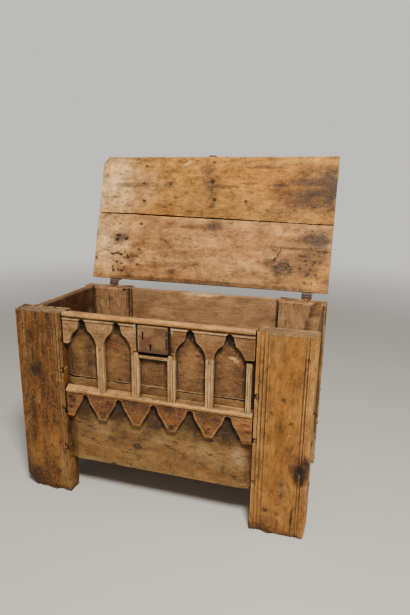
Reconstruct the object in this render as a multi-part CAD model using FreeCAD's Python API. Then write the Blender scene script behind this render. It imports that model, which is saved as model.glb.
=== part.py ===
# Oak coffer with a clamped front: four broad stiles stand on the floor as feet, and
# boards are tongued into them. A blind arcade and a frieze of pendants are applied to
# the front, with an iron hasp lock in the middle. The lid is drawn thrown back.
#
# Pieces are drawn with x = 0 at the middle of the chest, y = 0 on the front face of the
# front stiles and z = 0 on the floor: X runs to the right, Y to the back, Z up. The lid
# and its irons are drawn shut and then turned open. When all is made, the whole chest
# moves so that the middle of its outline lies over the origin.
import FreeCAD, Part
import math
import os

# ------------------------------------------------------------------ driving dimensions, mm
chest_width = 1000.0
chest_depth = 508.0
joint_gap = 0.2  # clearance left round every wooden joint

# stiles
stile_thickness = 60.0
front_stile_width = 180.0
front_stile_height = 671.0
back_left_stile_width = 207.0
back_right_stile_width = 180.0
back_stile_drop = 11.0  # top of the back stiles below the top of the front ones
back_stile_wear = 9.0  # bevel worn on the inner top edge of the back stiles
reed_width = 6.0
reed_depth = 2.5
front_reeds_from_inside = (15.0, 26.0, 38.0)
front_reeds_from_outside = (26.0, 34.0)
back_reeds_from_inside = (12.0, 24.0)
left_foot_wear = (38.0, 92.0)  # how far the worn corner reaches in and up
right_foot_wear = (12.0, 26.0)

# boards of the front, the back and the ends
board_thickness = 30.0
front_board_setback = 20.0  # front boards behind the face of the stiles
back_board_setback = 18.0  # back boards behind the inner face of the back stiles
tongue_thickness = 16.0
tongue_length = 20.0
tongue_setback = 8.0  # tongue behind the face of its board
front_bevel = 27.0
back_bevel = 9.0
board_foot = 128.0  # height of the lowest edge of the boards
front_board_drop = 7.0  # tops of the boards below the top of the front stiles
back_board_drop = 13.0
front_seam_height = 438.0
front_seam_rise = 3.0  # the seam is this much higher at its left end, lower at its right
back_seam_height = 400.0
seam_bevel = 2.0
notch_width = 150.0  # hollow worn in the top of the back board
notch_depth = 15.0
notch_centre_x = 8.0

# end boards
end_board_thickness = 38.0
end_board_inset = 14.0
end_board_drop = 11.0
end_tongue_thickness = 20.0
end_seam_height = 392.0

# bottom
bottom_board_count = 5
bottom_board_thickness = 22.0
bottom_board_rise = 22.0  # underside above the foot of the boards around it
bottom_groove_depth = 8.0

# wooden pegs through the tongues
peg_radius = 5.0
peg_proud = 1.0
peg_fit = 0.05
peg_from_edge = 12.0
pegs_above_board_foot = (50.0, 191.0)
peg_above_seam = 27.0

# arcade and pendants applied to the front
ornament_face = 4.0  # behind the face of the stiles
bay_count = 5  # two arches each side of the lock, and the lock itself
arcade_centre_x = -3.0
head_gap = 0.5  # arcade head below the bead moulding
arch_tip_drop = 1.5  # tips of the arches below the top of the arcade head
arch_ogee = ((8.0, 3.5), (13.5, 14.0), (16.0, 26.0), (20.0, 38.0))  # half width at a drop below the tip
arch_shoulder_drop = 82.0  # from the tip down to where the sides turn straight
arch_shoulder_middle = (0.78, 0.68)  # shares of the half width and of the drop
head_height = 89.5  # arcade head from its top to the foot of the spandrels
spandrel_tail_length = 15.5  # thin tail that comes down outside each knob
half_spandrel_rounding = 5.0
fillet_drop = 2.5  # raised fillet below the top of the arcade head
fillet_height = 6.0
fillet_proud = 2.0
colonnette_width = 25.0
end_colonnette_width = 17.0
end_colonnette_gap = 7.0  # between the last colonnette and the stile
end_colonnette_rise = 1.0  # its top above the foot of the spandrels
end_spandrel_rise = 12.0  # the last spandrel ends this far above the others
colonnette_reed_spacing = 8.0
colonnette_reed_width = 3.0
knob_radius = 8.5
knob_gap = 2.5  # knob below its spandrel
bead_radius = 8.0
bead_centre_drop = 11.0  # below the top of the front stiles
rail_drop = 12.0  # rail under the lock below the foot of the spandrels
rail_height = 10.0
rail_setback = 2.0  # behind the face of the ornament
sill_face = 0.5
sill_low = 390.0
sill_lip_height = 10.0
sill_slope_rise = 12.0
frieze_height = 89.0
gap_tip_drop = 6.0  # tips of the gaps below the top of the frieze
gap_ogee = ((7.5, 3.0), (12.0, 12.0), (14.0, 21.0), (17.5, 30.0))
pendant_foot_width = 29.0
gap_shoulder_middle = (0.74, 0.68)
pendant_field = ((48.0, 5.0), (36.0, 36.0), (18.0, 62.0), (7.0, 80.0))  # half width at a drop from the top
pendant_field_depth = 2.5

# lock, measured from the left edge of the lock plate
lock_left = -51.0
lock_width = 100.0
lock_height = 86.0
lock_drop = 1.5  # top of the lock plate below the top of the arcade head
lock_face = 0.0
lock_plate_thickness = 2.5
lock_rim_thickness = 2.0
lock_clear = 8.0  # gap each side of the lock case
slot_from_left = 16.5
slot_width = 5.0
slot_from_foot = 39.5  # from the foot of the lock plate
slot_height = 27.0
keyhole_from_left = 42.0
keyhole_from_foot = 23.5
keyhole_radius = 4.5
keyhole_slot_width = 4.4
keyhole_slot_length = 20.5
key_pin_radius = 1.5
key_pin_setback = 1.0  # behind the face of the lock plate
bolt_height = 6.0
bolt_thickness = 4.5
bolt_length = 66.0
bolt_setback = 5.5  # face of the bolt behind the face of the lock plate
bolt_from_foot = 55.0
bolt_tip_gap = 4.5  # drawn bolt short of the staple
bolt_notch_width = 8.0
bolt_notch_depth = 2.0
slide_fit = 0.3  # clearance round the bolt in its guides
guide_wall = 3.0
guide_width = 6.0
guides_from_left = (35.0, 68.0)
spring_thickness = 1.0
spring_width = 4.5
spring_span = 24.0
spring_rise = 5.0
spring_foot = 4.0

# lid
lid_seat_gap = 0.3  # shut lid clear of the stiles and of the hinge leaves
lid_thickness = 26.0
lid_overhang = 19.3  # lid ahead of the face of the front stiles
lid_left_inset = 6.0
lid_right_inset = 0.5
lid_open_angle = 106.5
lid_seam_left = 283.0  # seam to the rear edge, at the left end
lid_seam_right = 262.0
lid_seam_gap = 2.0
lid_broken_corner = (25.0, 27.0)
dowel_radius = 5.0
dowel_length = 60.0
dowel_pitch = 300.0

# iron strap hinges
left_hinge_from_end = 112.0
right_hinge_from_end = 80.0
hinge_width = 40.0
iron_thickness = 3.0
pin_radius = 3.0
pin_fit = 0.05  # radial running clearance of every iron pin
hinge_pin_rise = 3.7  # pin above the underside of the shut lid
barrel_clear = 0.4  # eyes behind the back face of the chest
barrel_gap = 0.5
strap_turn_down = 15.0  # how far a strap is turned down behind the lid
barrel_length = 12.0
strap_length = 330.0
strap_tail_width = 24.0
strap_disc_radius = 17.0
leaf_length = 120.0
pin_head_proud = 1.5  # peened head beyond the pin, all round
pin_head_thickness = 2.0
strap_nails = (  # (from the rear edge of the lid, to the right)
    (35.0, -13.0),
    (35.0, 13.0),
    (70.0, 0.0),
    (105.0, -12.0),
    (105.0, 12.0),
    (170.0, 0.0),
    (235.0, 0.0),
    (330.0, 0.0),
)
leaf_nails_below = (22.0, 52.0, 84.0)
leaf_nail_length = 26.0

# hasp
hasp_centre_x = -12.0
hasp_strap_width = 40.0
hasp_strap_length = 187.0
hasp_tail_width = 26.0
hasp_strap_nails = ((26.0, -12.0), (26.0, 12.0), (106.0, 0.0), (187.0, 0.0))
hasp_pin_ahead = 10.0  # pin ahead of the front edge of the lid
hasp_pin_radius = 2.5
hasp_barrel_length = 10.0
hasp_outer_barrel_length = 8.0
hasp_plate_width = 56.0
hasp_foot_above_lock_foot = 28.0
hasp_plate_gap = 0.5  # shut hasp clear of the lock plate
hasp_shoulder_drop = 11.3  # shoulders below the top of the lid
hasp_bend_drop = 4.3  # start of the crank below the underside of the lid
hasp_bend_height = 16.0
hasp_notch_clear = 1.0  # hasp ring clear of the strap behind it
staple_thickness = 3.4
staple_wire = 4.0
staple_reach = 16.0
staple_height = 16.0
rivet_proud = 0.4

# nails
nail_size = 4.0
nail_head_size = 9.0
nail_head_height = 2.5
small_nail_size = 3.0
small_nail_head_size = 6.0
lock_nail_from_edge = 4.5
lock_nail_from_end = 8.0
lock_nail_middle_rise = 10.0  # middle nail above the middle of the plate
lock_nail_length = 34.0
ornament_nail_length = 40.0
capital_nail_drop = 10.0  # nail in a colonnette below the foot of the spandrels
spandrel_nail_inset = 26.0  # nail in the left half spandrel, from its outer edge
spandrel_nail_rise = 50.0

# ------------------------------------------------------------------ places that follow from them
half_width = chest_width / 2
stile_inner_x = half_width - front_stile_width
back_stile_height = front_stile_height - back_stile_drop
front_board_top = front_stile_height - front_board_drop
back_board_top = front_stile_height - back_board_drop
end_board_top = front_stile_height - end_board_drop
bottom_board_underside = board_foot + bottom_board_rise
back_stile_inner_y = chest_depth - stile_thickness
board_back_y = front_board_setback + board_thickness
back_board_face_y = back_stile_inner_y + back_board_setback
end_board_inner_x = half_width - end_board_inset - end_board_thickness
bead_centre_height = front_stile_height - bead_centre_drop
head_top = bead_centre_height - bead_radius - head_gap
arch_tip_height = head_top - arch_tip_drop
spandrel_foot = head_top - head_height
knob_centre_height = spandrel_foot - knob_gap - knob_radius
arch_pitch = (2 * stile_inner_x - colonnette_width) / bay_count
arch_half_width = (arch_pitch - colonnette_width) / 2
arch_centres = [arcade_centre_x + arch_pitch * step for step in (-2, -1, 1, 2)]
gap_centres = [arcade_centre_x + arch_pitch * step for step in (-2, -1, 0, 1, 2)]
colonnette_centres = [arcade_centre_x + arch_pitch * step for step in (-1.5, -0.5, 0.5, 1.5)]
ornament_end_x = stile_inner_x - joint_gap
end_colonnette_x = stile_inner_x - end_colonnette_gap - end_colonnette_width / 2
sill_lip_high = sill_low + sill_lip_height
pendant_foot = sill_low - frieze_height
gap_tip_height = sill_low - gap_tip_drop
gap_half_width = (arch_pitch - pendant_foot_width) / 2
lock_right = lock_left + lock_width
lock_high = head_top - lock_drop
lock_low = lock_high - lock_height
slot_low = lock_low + slot_from_foot
keyhole_centre_height = lock_low + keyhole_from_foot
bolt_centre_height = lock_low + bolt_from_foot
staple_x = lock_left + slot_from_left
keyhole_x = lock_left + keyhole_from_left
lid_underside = front_stile_height + lid_seat_gap
lid_top = lid_underside + lid_thickness
lid_rear_y = chest_depth - lid_seat_gap
lid_front_y = -lid_overhang
lid_left_x = -half_width + lid_left_inset
lid_right_x = half_width - lid_right_inset
hinge_left_x = -half_width + left_hinge_from_end
hinge_right_x = half_width - right_hinge_from_end
hinge_pin_height = lid_underside + hinge_pin_rise
hinge_eye_radius = pin_radius + pin_fit + iron_thickness
hinge_pin_y = chest_depth + barrel_clear + hinge_eye_radius
hasp_eye_radius = hasp_pin_radius + pin_fit + iron_thickness
hasp_pin_y = lid_front_y - hasp_pin_ahead
hasp_pin_z = lid_top + hasp_eye_radius
hasp_shoulder_height = lid_top - hasp_shoulder_drop
hasp_bend_high = lid_underside - hasp_bend_drop
ornament_nails = [
    (colonnette_centres[0], spandrel_foot - capital_nail_drop),
    (colonnette_centres[-1], spandrel_foot - capital_nail_drop),
    (-ornament_end_x + spandrel_nail_inset, spandrel_foot + spandrel_nail_rise),
]
X_AXIS = FreeCAD.Vector(1, 0, 0)
Y_AXIS = FreeCAD.Vector(0, 1, 0)
Z_AXIS = FreeCAD.Vector(0, 0, 1)


# ------------------------------------------------------------------ plain shapes
def box(x_ends, y_ends, z_ends):
    """Upright block between two limits on each axis, given in either order."""
    low = FreeCAD.Vector(min(x_ends), min(y_ends), min(z_ends))
    high = FreeCAD.Vector(max(x_ends), max(y_ends), max(z_ends))
    size = high - low
    return Part.makeBox(size.x, size.y, size.z, low)


def prism(outline, travel):
    """Solid swept by a closed outline of points along a vector."""
    points = [FreeCAD.Vector(*point) for point in outline]
    return Part.Face(Part.makePolygon(points + points[:1])).extrude(travel)


def rod(start, end, radius):
    """Round bar between two points."""
    start = FreeCAD.Vector(*start)
    run = FreeCAD.Vector(*end) - start
    return Part.makeCylinder(radius, run.Length, start, run)


def eight_sided_bar(start, end, radius):
    """Bar with eight flats between two points: a peg shaved with a knife, or a hammered pin."""
    start = FreeCAD.Vector(*start)
    run = FreeCAD.Vector(*end) - start
    turns = [math.radians(22.5 + 45 * step) for step in range(8)]
    corners = [(radius * math.cos(turn), radius * math.sin(turn), 0) for turn in turns]
    bar = prism(corners, Z_AXIS * run.Length)
    bar.Placement = FreeCAD.Placement(start, FreeCAD.Rotation(Z_AXIS, run))
    return bar


def cut_all(shape, tools):
    """The solid with every tool taken out of it."""
    return shape.cut(tools).Solids[0]


def fuse_all(shapes):
    """One solid made of overlapping or touching ones."""
    return shapes[0].multiFuse(shapes[1:]).removeSplitter().Solids[0]


def group(shapes):
    """Separate solids that share one node."""
    return Part.makeCompound(shapes)


def reed(x, face_y, z_low, z_high, width, depth):
    """Narrow V groove that runs up a face turned to the front."""
    outline = [(x - width / 2, face_y, z_low), (x + width / 2, face_y, z_low), (x, face_y + depth, z_low)]
    return prism(outline, Z_AXIS * (z_high - z_low))


def nail(head_seat, direction, length, size=nail_size, head_size=nail_head_size):
    """Forged nail: a square shank under a low four-sided head that sits at head_seat."""
    shank = box((-size / 2, size / 2), (-size / 2, size / 2), (0, length))
    base = head_size / 2
    crown = head_size / 6
    head = Part.makeWedge(-base, 0, -base, -crown, -crown, base, nail_head_height, base, crown, crown)
    head.rotate(FreeCAD.Vector(0, 0, 0), X_AXIS, -90)
    shape = shank.fuse(head)
    shape.Placement = FreeCAD.Placement(FreeCAD.Vector(*head_seat), FreeCAD.Rotation(Z_AXIS, direction))
    return shape


# ------------------------------------------------------------------ stiles and boards
def peg_line(side):
    """X of the pegs that hold the front or back boards, at one side of the chest."""
    return side * (stile_inner_x + peg_from_edge)


def back_stile_inner_x(side):
    """X of the inner edge of a back stile: the left one is wider."""
    if side < 0:
        return -(half_width - back_left_stile_width)
    return half_width - back_right_stile_width


def peg_heights(seam_height):
    """Heights of the pegs in one stile: two in the lower board, one in the upper board."""
    return [board_foot + rise for rise in pegs_above_board_foot] + [seam_height + peg_above_seam]


def front_pegs(radius=peg_radius):
    """Pegs through the front stiles and the tongues of the front boards."""
    rods = []
    for side in (-1, 1):
        for z in peg_heights(front_seam_height):
            ends = (peg_line(side), -peg_proud, z), (peg_line(side), stile_thickness, z)
            rods.append(eight_sided_bar(*ends, radius))
    return rods


def back_pegs(radius=peg_radius):
    """Pegs driven from behind through the back stiles and the tongues of the back boards."""
    rods = []
    for side in (-1, 1):
        x = back_stile_inner_x(side) + side * peg_from_edge
        for z in peg_heights(back_seam_height):
            rods.append(eight_sided_bar((x, back_stile_inner_y, z), (x, chest_depth + peg_proud, z), radius))
    return rods


def end_pegs(side, radius=peg_radius):
    """Pegs driven from one side through the stiles and the tongues of the end boards."""
    rods = []
    for y in (stile_thickness - peg_from_edge, back_stile_inner_y + peg_from_edge):
        for z in peg_heights(end_seam_height):
            outer_x = side * (half_width + peg_proud)
            rods.append(eight_sided_bar((side * end_board_inner_x, y, z), (outer_x, y, z), radius))
    return rods


def peg_holes():
    """Holes for all the pegs, eight-sided like them and a hair wider."""
    wide = peg_radius + peg_fit
    return front_pegs(wide) + back_pegs(wide) + end_pegs(-1, wide) + end_pegs(1, wide)


def end_groove(side, y_ends):
    """Groove in a stile for the tongue of an end board."""
    middle = end_board_inner_x + end_board_thickness / 2
    reach = end_tongue_thickness / 2 + joint_gap
    x_ends = (side * (middle - reach), side * (middle + reach))
    return box(x_ends, y_ends, (board_foot - joint_gap, end_board_top + joint_gap))


def worn_corner(side, reach_in, reach_up):
    """Rounded loss at the outer bottom corner of a front foot."""
    corner = FreeCAD.Vector(side * half_width, 0, 0)
    top = corner + FreeCAD.Vector(0, 0, reach_up)
    inner = corner - FreeCAD.Vector(side * reach_in, 0, 0)
    middle = corner + FreeCAD.Vector(-side * reach_in * 0.22, 0, reach_up * 0.3)
    edges = [Part.Arc(top, middle, inner).toShape(), Part.makeLine(inner, corner), Part.makeLine(corner, top)]
    return Part.Face(Part.Wire(edges)).extrude(Y_AXIS * stile_thickness)


def front_stile(side, foot_wear):
    """Front stile and foot, reeded along both edges, grooved for the front and end boards."""
    stile = box((side * stile_inner_x, side * half_width), (0, stile_thickness), (0, front_stile_height))
    tongue_y = front_board_setback + tongue_setback
    groove_x = (side * stile_inner_x, side * (stile_inner_x + tongue_length + joint_gap))
    groove_y = (tongue_y - joint_gap, tongue_y + tongue_thickness + joint_gap)
    cuts = [box(groove_x, groove_y, (board_foot - joint_gap, front_board_top + joint_gap))]
    cuts.append(end_groove(side, (stile_thickness - tongue_length - joint_gap, stile_thickness)))
    cuts.append(worn_corner(side, *foot_wear))
    reed_places = [stile_inner_x + step for step in front_reeds_from_inside]
    reed_places += [half_width - step for step in front_reeds_from_outside]
    for x in reed_places:
        cuts.append(reed(side * x, 0, 0, front_stile_height, reed_width, reed_depth))
    return cut_all(stile, cuts + peg_holes())


def back_stile(side):
    """Back stile and foot, grooved like the front ones, its top worn down towards the inside."""
    inner_x = back_stile_inner_x(side)
    stile = box((inner_x, side * half_width), (back_stile_inner_y, chest_depth), (0, back_stile_height))
    tongue_y = back_board_face_y + tongue_setback
    groove_x = (inner_x, inner_x + side * (tongue_length + joint_gap))
    groove_y = (tongue_y - joint_gap, tongue_y + tongue_thickness + joint_gap)
    cuts = [box(groove_x, groove_y, (board_foot - joint_gap, back_stile_height))]
    cuts.append(end_groove(side, (back_stile_inner_y, back_stile_inner_y + tongue_length + joint_gap)))
    worn_edge = [
        (-half_width, back_stile_inner_y, back_stile_height),
        (-half_width, back_stile_inner_y + back_stile_wear, back_stile_height),
        (-half_width, back_stile_inner_y, back_stile_height - back_stile_wear),
    ]
    cuts.append(prism(worn_edge, X_AXIS * chest_width))
    if side < 0:
        for step in back_reeds_from_inside:
            x = inner_x + side * step
            cuts.append(reed(x, back_stile_inner_y, 0, back_stile_height, reed_width, reed_depth))
    return cut_all(stile, cuts + peg_holes())


def board_plan(start, end, face, back, tongue, bevel):
    """Outline of a tongued board seen along its width, as (along, across) pairs.

    start and end are the stile edges that the board runs between, face and back its two
    surfaces, tongue the two surfaces of its tongues. The face may be bevelled to them.
    """
    first = start + joint_gap
    last = end - joint_gap
    first_tip = start - tongue_length
    last_tip = end + tongue_length
    shown = [(first, tongue[0]), (first + bevel, face), (last - bevel, face), (last, tongue[0])]
    hidden = [(last, tongue[1]), (last, back), (first, back), (first, tongue[1])]
    return (
        [(first_tip, tongue[0])]
        + shown
        + [(last_tip, tongue[0]), (last_tip, tongue[1])]
        + hidden
        + [(first_tip, tongue[1])]
    )


def under_seam(height, rise, gap):
    """Everything below a seam that is higher by rise at the left stile than at mid-width."""
    far = 2 * half_width
    slope = rise / stile_inner_x
    outline = [
        (-far, -far, -far),
        (far, -far, -far),
        (far, -far, height - slope * far + gap),
        (-far, -far, height + slope * far + gap),
    ]
    return prism(outline, Y_AXIS * 2 * far)


def split_at_seam(board, height, rise):
    """The upper and the lower board of a panel made of two, a joint gap apart."""
    upper = board.cut(under_seam(height, rise, joint_gap / 2))
    lower = board.common(under_seam(height, rise, -joint_gap / 2))
    return upper, lower


def bottom_groove(x_ends, y_ends):
    """Groove that takes the edges of the bottom boards."""
    low = bottom_board_underside - joint_gap
    high = bottom_board_underside + bottom_board_thickness + joint_gap
    return box(x_ends, y_ends, (low, high))


def front_boards():
    """Upper and lower front boards, bevelled at both ends where they enter the stiles."""
    tongue_y = front_board_setback + tongue_setback
    tongue = (tongue_y, tongue_y + tongue_thickness)
    plan = board_plan(-stile_inner_x, stile_inner_x, front_board_setback, board_back_y, tongue, front_bevel)
    panel = prism([(x, y, board_foot) for x, y in plan], Z_AXIS * (front_board_top - board_foot))
    groove_y = (board_back_y - bottom_groove_depth, board_back_y)
    panel = panel.cut(bottom_groove((-half_width, half_width), groove_y))
    upper, lower = split_at_seam(cut_all(panel, peg_holes()), front_seam_height, front_seam_rise)
    lit_edge = [
        edge
        for edge in lower.Edges
        if abs(edge.BoundBox.YMax - front_board_setback) < 0.01 and edge.BoundBox.ZMin > front_seam_height - 10
    ]
    return upper, lower.makeChamfer(seam_bevel, lit_edge)


def back_boards():
    """Upper and lower back boards, the upper with a hollow worn in its top inner edge."""
    left_x = back_stile_inner_x(-1)
    right_x = back_stile_inner_x(1)
    tongue_y = back_board_face_y + tongue_setback
    tongue = (tongue_y, tongue_y + tongue_thickness)
    back_y = back_board_face_y + board_thickness
    plan = board_plan(left_x, right_x, back_board_face_y, back_y, tongue, back_bevel)
    panel = prism([(x, y, board_foot) for x, y in plan], Z_AXIS * (back_board_top - board_foot))
    groove_y = (back_board_face_y, back_board_face_y + bottom_groove_depth)
    panel = cut_all(panel, [bottom_groove((-half_width, half_width), groove_y)] + peg_holes())
    upper, lower = split_at_seam(panel, back_seam_height, 0)
    return upper.cut(worn_notch()), lower


def worn_notch():
    """Shallow scoop out of the top inner edge of the back board: deep at its face, none behind."""
    left = FreeCAD.Vector(notch_centre_x - notch_width / 2, back_board_face_y, back_board_top)
    right = left + X_AXIS * notch_width
    lowest = (left + right) * 0.5 - Z_AXIS * notch_depth
    bow = Part.Face(Part.Wire([Part.Arc(left, lowest, right).toShape(), Part.makeLine(right, left)]))
    scoop = bow.extrude(Y_AXIS * board_thickness)
    ramp = [
        (-half_width, back_board_face_y, back_board_top - notch_depth),
        (-half_width, back_board_face_y, back_board_top),
        (-half_width, back_board_face_y + board_thickness, back_board_top),
    ]
    return scoop.common(prism(ramp, X_AXIS * chest_width))


def end_boards(side):
    """Upper and lower boards of one end, tongued into the front and back stiles."""
    face = side * (half_width - end_board_inset)
    inner = side * end_board_inner_x
    middle = (face + inner) / 2
    tongue = (middle + side * end_tongue_thickness / 2, middle - side * end_tongue_thickness / 2)
    plan = board_plan(stile_thickness, back_stile_inner_y, face, inner, tongue, 0)
    panel = prism([(x, y, board_foot) for y, x in plan], Z_AXIS * (end_board_top - board_foot))
    groove = bottom_groove((inner, inner + side * bottom_groove_depth), (0, chest_depth))
    return split_at_seam(cut_all(panel, [groove] + peg_holes()), end_seam_height, 0)


def bottom_board(index):
    """One of the boards of the bottom, which run from front to back in grooves all round."""
    reach_x = end_board_inner_x + bottom_groove_depth - joint_gap
    width = 2 * reach_x / bottom_board_count
    left = -reach_x + index * width + joint_gap / 2
    y_low = board_back_y - bottom_groove_depth + joint_gap
    y_high = back_board_face_y + bottom_groove_depth - joint_gap
    z_ends = (bottom_board_underside, bottom_board_underside + bottom_board_thickness)
    board = box((left, left + width - joint_gap), (y_low, y_high), z_ends)
    corners = []
    for side in (-1, 1):
        front_x = side * (stile_inner_x - joint_gap)
        corners.append(box((front_x, side * half_width), (0, stile_thickness + joint_gap), z_ends))
        back_x = back_stile_inner_x(side) - side * joint_gap
        corners.append(box((back_x, side * half_width), (back_stile_inner_y - joint_gap, chest_depth), z_ends))
    return cut_all(board, corners)


# ------------------------------------------------------------------ ornament of the front
def ogee_opening(centre_x, tip_z, ogee, half, drop, shoulder_middle, foot_z):
    """Pointed opening cut through the ornament: two S curves that meet in a blunt tip.

    ogee lists (half width, drop) for the middle and end of the round tip, then of the neck
    under it. A round shoulder follows, which ends at half and drop, and below it the sides
    run straight down to foot_z.
    """
    y = ornament_face - fillet_proud
    edges = []
    feet = []
    for side in (-1, 1):
        tip = FreeCAD.Vector(centre_x, y, tip_z)
        bends = [FreeCAD.Vector(centre_x + side * reach, y, tip_z - fall) for reach, fall in ogee]
        middle_x = centre_x + side * half * shoulder_middle[0]
        middle = FreeCAD.Vector(middle_x, y, tip_z - drop * shoulder_middle[1])
        low = FreeCAD.Vector(centre_x + side * half, y, tip_z - drop)
        foot = FreeCAD.Vector(low.x, y, foot_z)
        edges.append(Part.Arc(tip, bends[0], bends[1]).toShape())
        edges.append(Part.Arc(bends[1], bends[2], bends[3]).toShape())
        edges.append(Part.Arc(bends[3], middle, low).toShape())
        edges.append(Part.makeLine(low, foot))
        feet.append(foot)
    edges.append(Part.makeLine(*feet))
    outline = Part.Wire(Part.__sortEdges__(edges))
    return Part.Face(outline).extrude(Y_AXIS * (front_board_setback - y))


def arch(centre_x):
    """Opening of one arch of the arcade."""
    foot_z = spandrel_foot - spandrel_tail_length - 1
    return ogee_opening(
        centre_x, arch_tip_height, arch_ogee, arch_half_width, arch_shoulder_drop, arch_shoulder_middle, foot_z
    )


def spandrel_tail(colonnette_x, lock_side):
    """Thin tail of the spandrel beside the lock, which comes down outside the knob."""
    outer_x = colonnette_x - lock_side * colonnette_width / 2
    inner_x = outer_x + lock_side * (colonnette_width - 2 * knob_radius - joint_gap)
    z_ends = (spandrel_foot - spandrel_tail_length, spandrel_foot)
    return box((outer_x, inner_x), (ornament_face, front_board_setback), z_ends)


def arcade_head(side, arches, colonnette_by_lock, end_rise):
    """Spandrels of the two arches at one side, cut from one board, with a raised fillet.

    The last half spandrel, beside the stile, ends end_rise above the others in a round foot.
    """
    lock_edge = lock_left - lock_clear if side < 0 else lock_right + lock_clear
    stile_end = side * ornament_end_x
    x_ends = (lock_edge, stile_end)
    y_ends = (ornament_face, front_board_setback)
    board = box(x_ends, y_ends, (spandrel_foot, head_top))
    fillet_z = (head_top - fillet_drop - fillet_height, head_top - fillet_drop)
    fillet = box(x_ends, (ornament_face - fillet_proud, ornament_face), fillet_z)
    head = fuse_all([board, fillet, spandrel_tail(colonnette_by_lock, -side)])
    head = cut_all(head, [arch(x) for x in arches])
    foot = spandrel_foot + end_rise
    if end_rise > 0:
        head = head.cut(box((stile_end, stile_end - side * arch_half_width), y_ends, (spandrel_foot, foot)))
    arch_side_x = arches[0 if side < 0 else -1] + side * arch_half_width
    corner_edges = [
        edge
        for edge in head.Edges
        if edge.BoundBox.YLength > fillet_proud
        and abs(edge.BoundBox.ZMin - foot) < 0.01
        and edge.BoundBox.ZLength < 0.01
        and min(abs(edge.BoundBox.XMin - arch_side_x), abs(edge.BoundBox.XMin - stile_end)) < 0.01
    ]
    return head.makeFillet(half_spandrel_rounding, corner_edges)


def sill_height(y):
    """Height of the sloping top of the sill at a depth y."""
    slope = sill_slope_rise / (front_board_setback - sill_face)
    return sill_lip_high + slope * (y - sill_face)


def colonnette(centre_x, width, top):
    """Flat reeded colonnette that stands on the slope of the sill."""
    outline = [
        (centre_x - width / 2, ornament_face, sill_height(ornament_face)),
        (centre_x - width / 2, front_board_setback, sill_height(front_board_setback)),
        (centre_x - width / 2, front_board_setback, top),
        (centre_x - width / 2, ornament_face, top),
    ]
    shaft = prism(outline, X_AXIS * width)
    reeds = []
    for side in (-1, 1):
        x = centre_x + side * colonnette_reed_spacing / 2
        reeds.append(reed(x, ornament_face, sill_low, top, colonnette_reed_width, colonnette_reed_width / 2))
    return cut_all(shaft, reeds)


def knobbed_colonnette(centre_x, lock_side):
    """Colonnette beside the lock, whose capital is a round knob."""
    knob_x = centre_x + lock_side * (colonnette_width / 2 - knob_radius)
    shaft = colonnette(centre_x, colonnette_width, spandrel_foot - spandrel_tail_length - joint_gap)
    start = (knob_x, ornament_face, knob_centre_height)
    knob = rod(start, (knob_x, front_board_setback, knob_centre_height), knob_radius)
    return fuse_all([shaft, knob])


def bead_moulding():
    """Round moulding along the top of the front board."""
    ends = (-ornament_end_x, ornament_end_x)
    low = bead_centre_height - bead_radius
    high = bead_centre_height + bead_radius
    core = box(ends, (bead_radius, front_board_setback), (low, high))
    nose_start = (ends[0], bead_radius, bead_centre_height)
    nose = rod(nose_start, (ends[1], bead_radius, bead_centre_height), bead_radius)
    return fuse_all([core, nose])


def sill_moulding():
    """Sloping sill under the arcade."""
    outline = [
        (-ornament_end_x, sill_face, sill_low),
        (-ornament_end_x, sill_face, sill_lip_high),
        (-ornament_end_x, front_board_setback, sill_lip_high + sill_slope_rise),
        (-ornament_end_x, front_board_setback, sill_low),
    ]
    return prism(outline, X_AXIS * 2 * ornament_end_x)


def pendant_frieze():
    """Row of pendants cut from one board, each with a sunk field that leaves a rim."""
    ends = (-ornament_end_x, ornament_end_x)
    frieze = box(ends, (ornament_face, front_board_setback), (pendant_foot, sill_low))
    drop = gap_tip_height - pendant_foot
    foot_z = pendant_foot - 1
    cuts = []
    for x in gap_centres:
        cut = ogee_opening(x, gap_tip_height, gap_ogee, gap_half_width, drop, gap_shoulder_middle, foot_z)
        cuts.append(cut)
    for x in colonnette_centres:
        right = [(x + reach, ornament_face, sill_low - fall) for reach, fall in pendant_field]
        left = [(x - reach, ornament_face, sill_low - fall) for reach, fall in pendant_field]
        cuts.append(prism(left + right[::-1], Y_AXIS * pendant_field_depth))
    return cut_all(frieze, cuts)


def rail_under_lock():
    """Small rail that closes the arcade under the lock."""
    reach = colonnette_width / 2 + joint_gap
    ends = (colonnette_centres[1] + reach, colonnette_centres[2] - reach)
    y_ends = (ornament_face + rail_setback, front_board_setback)
    high = spandrel_foot - rail_drop
    return box(ends, y_ends, (high - rail_height, high))


def small_nail(x, face_y, z, length):
    """Small nail driven into the front of the chest from a face at face_y."""
    return nail((x, face_y, z), Y_AXIS, length, small_nail_size, small_nail_head_size)


# ------------------------------------------------------------------ lock
def lock_nails():
    """Nails along both sides of the lock plate."""
    middle_z = (lock_low + lock_high) / 2 + lock_nail_middle_rise
    places = []
    for x in (lock_left + lock_nail_from_edge, lock_right - lock_nail_from_edge):
        for z in (lock_low + lock_nail_from_end, middle_z, lock_high - lock_nail_from_end):
            places.append((x, z))
    return [small_nail(x, lock_face, z, lock_nail_length) for x, z in places]


def key_pin():
    """Pin that a hollow key turns on, driven into the front board."""
    start = (keyhole_x, lock_face + key_pin_setback, keyhole_centre_height)
    end = (keyhole_x, lock_face + lock_nail_length, keyhole_centre_height)
    return eight_sided_bar(start, end, key_pin_radius)


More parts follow.
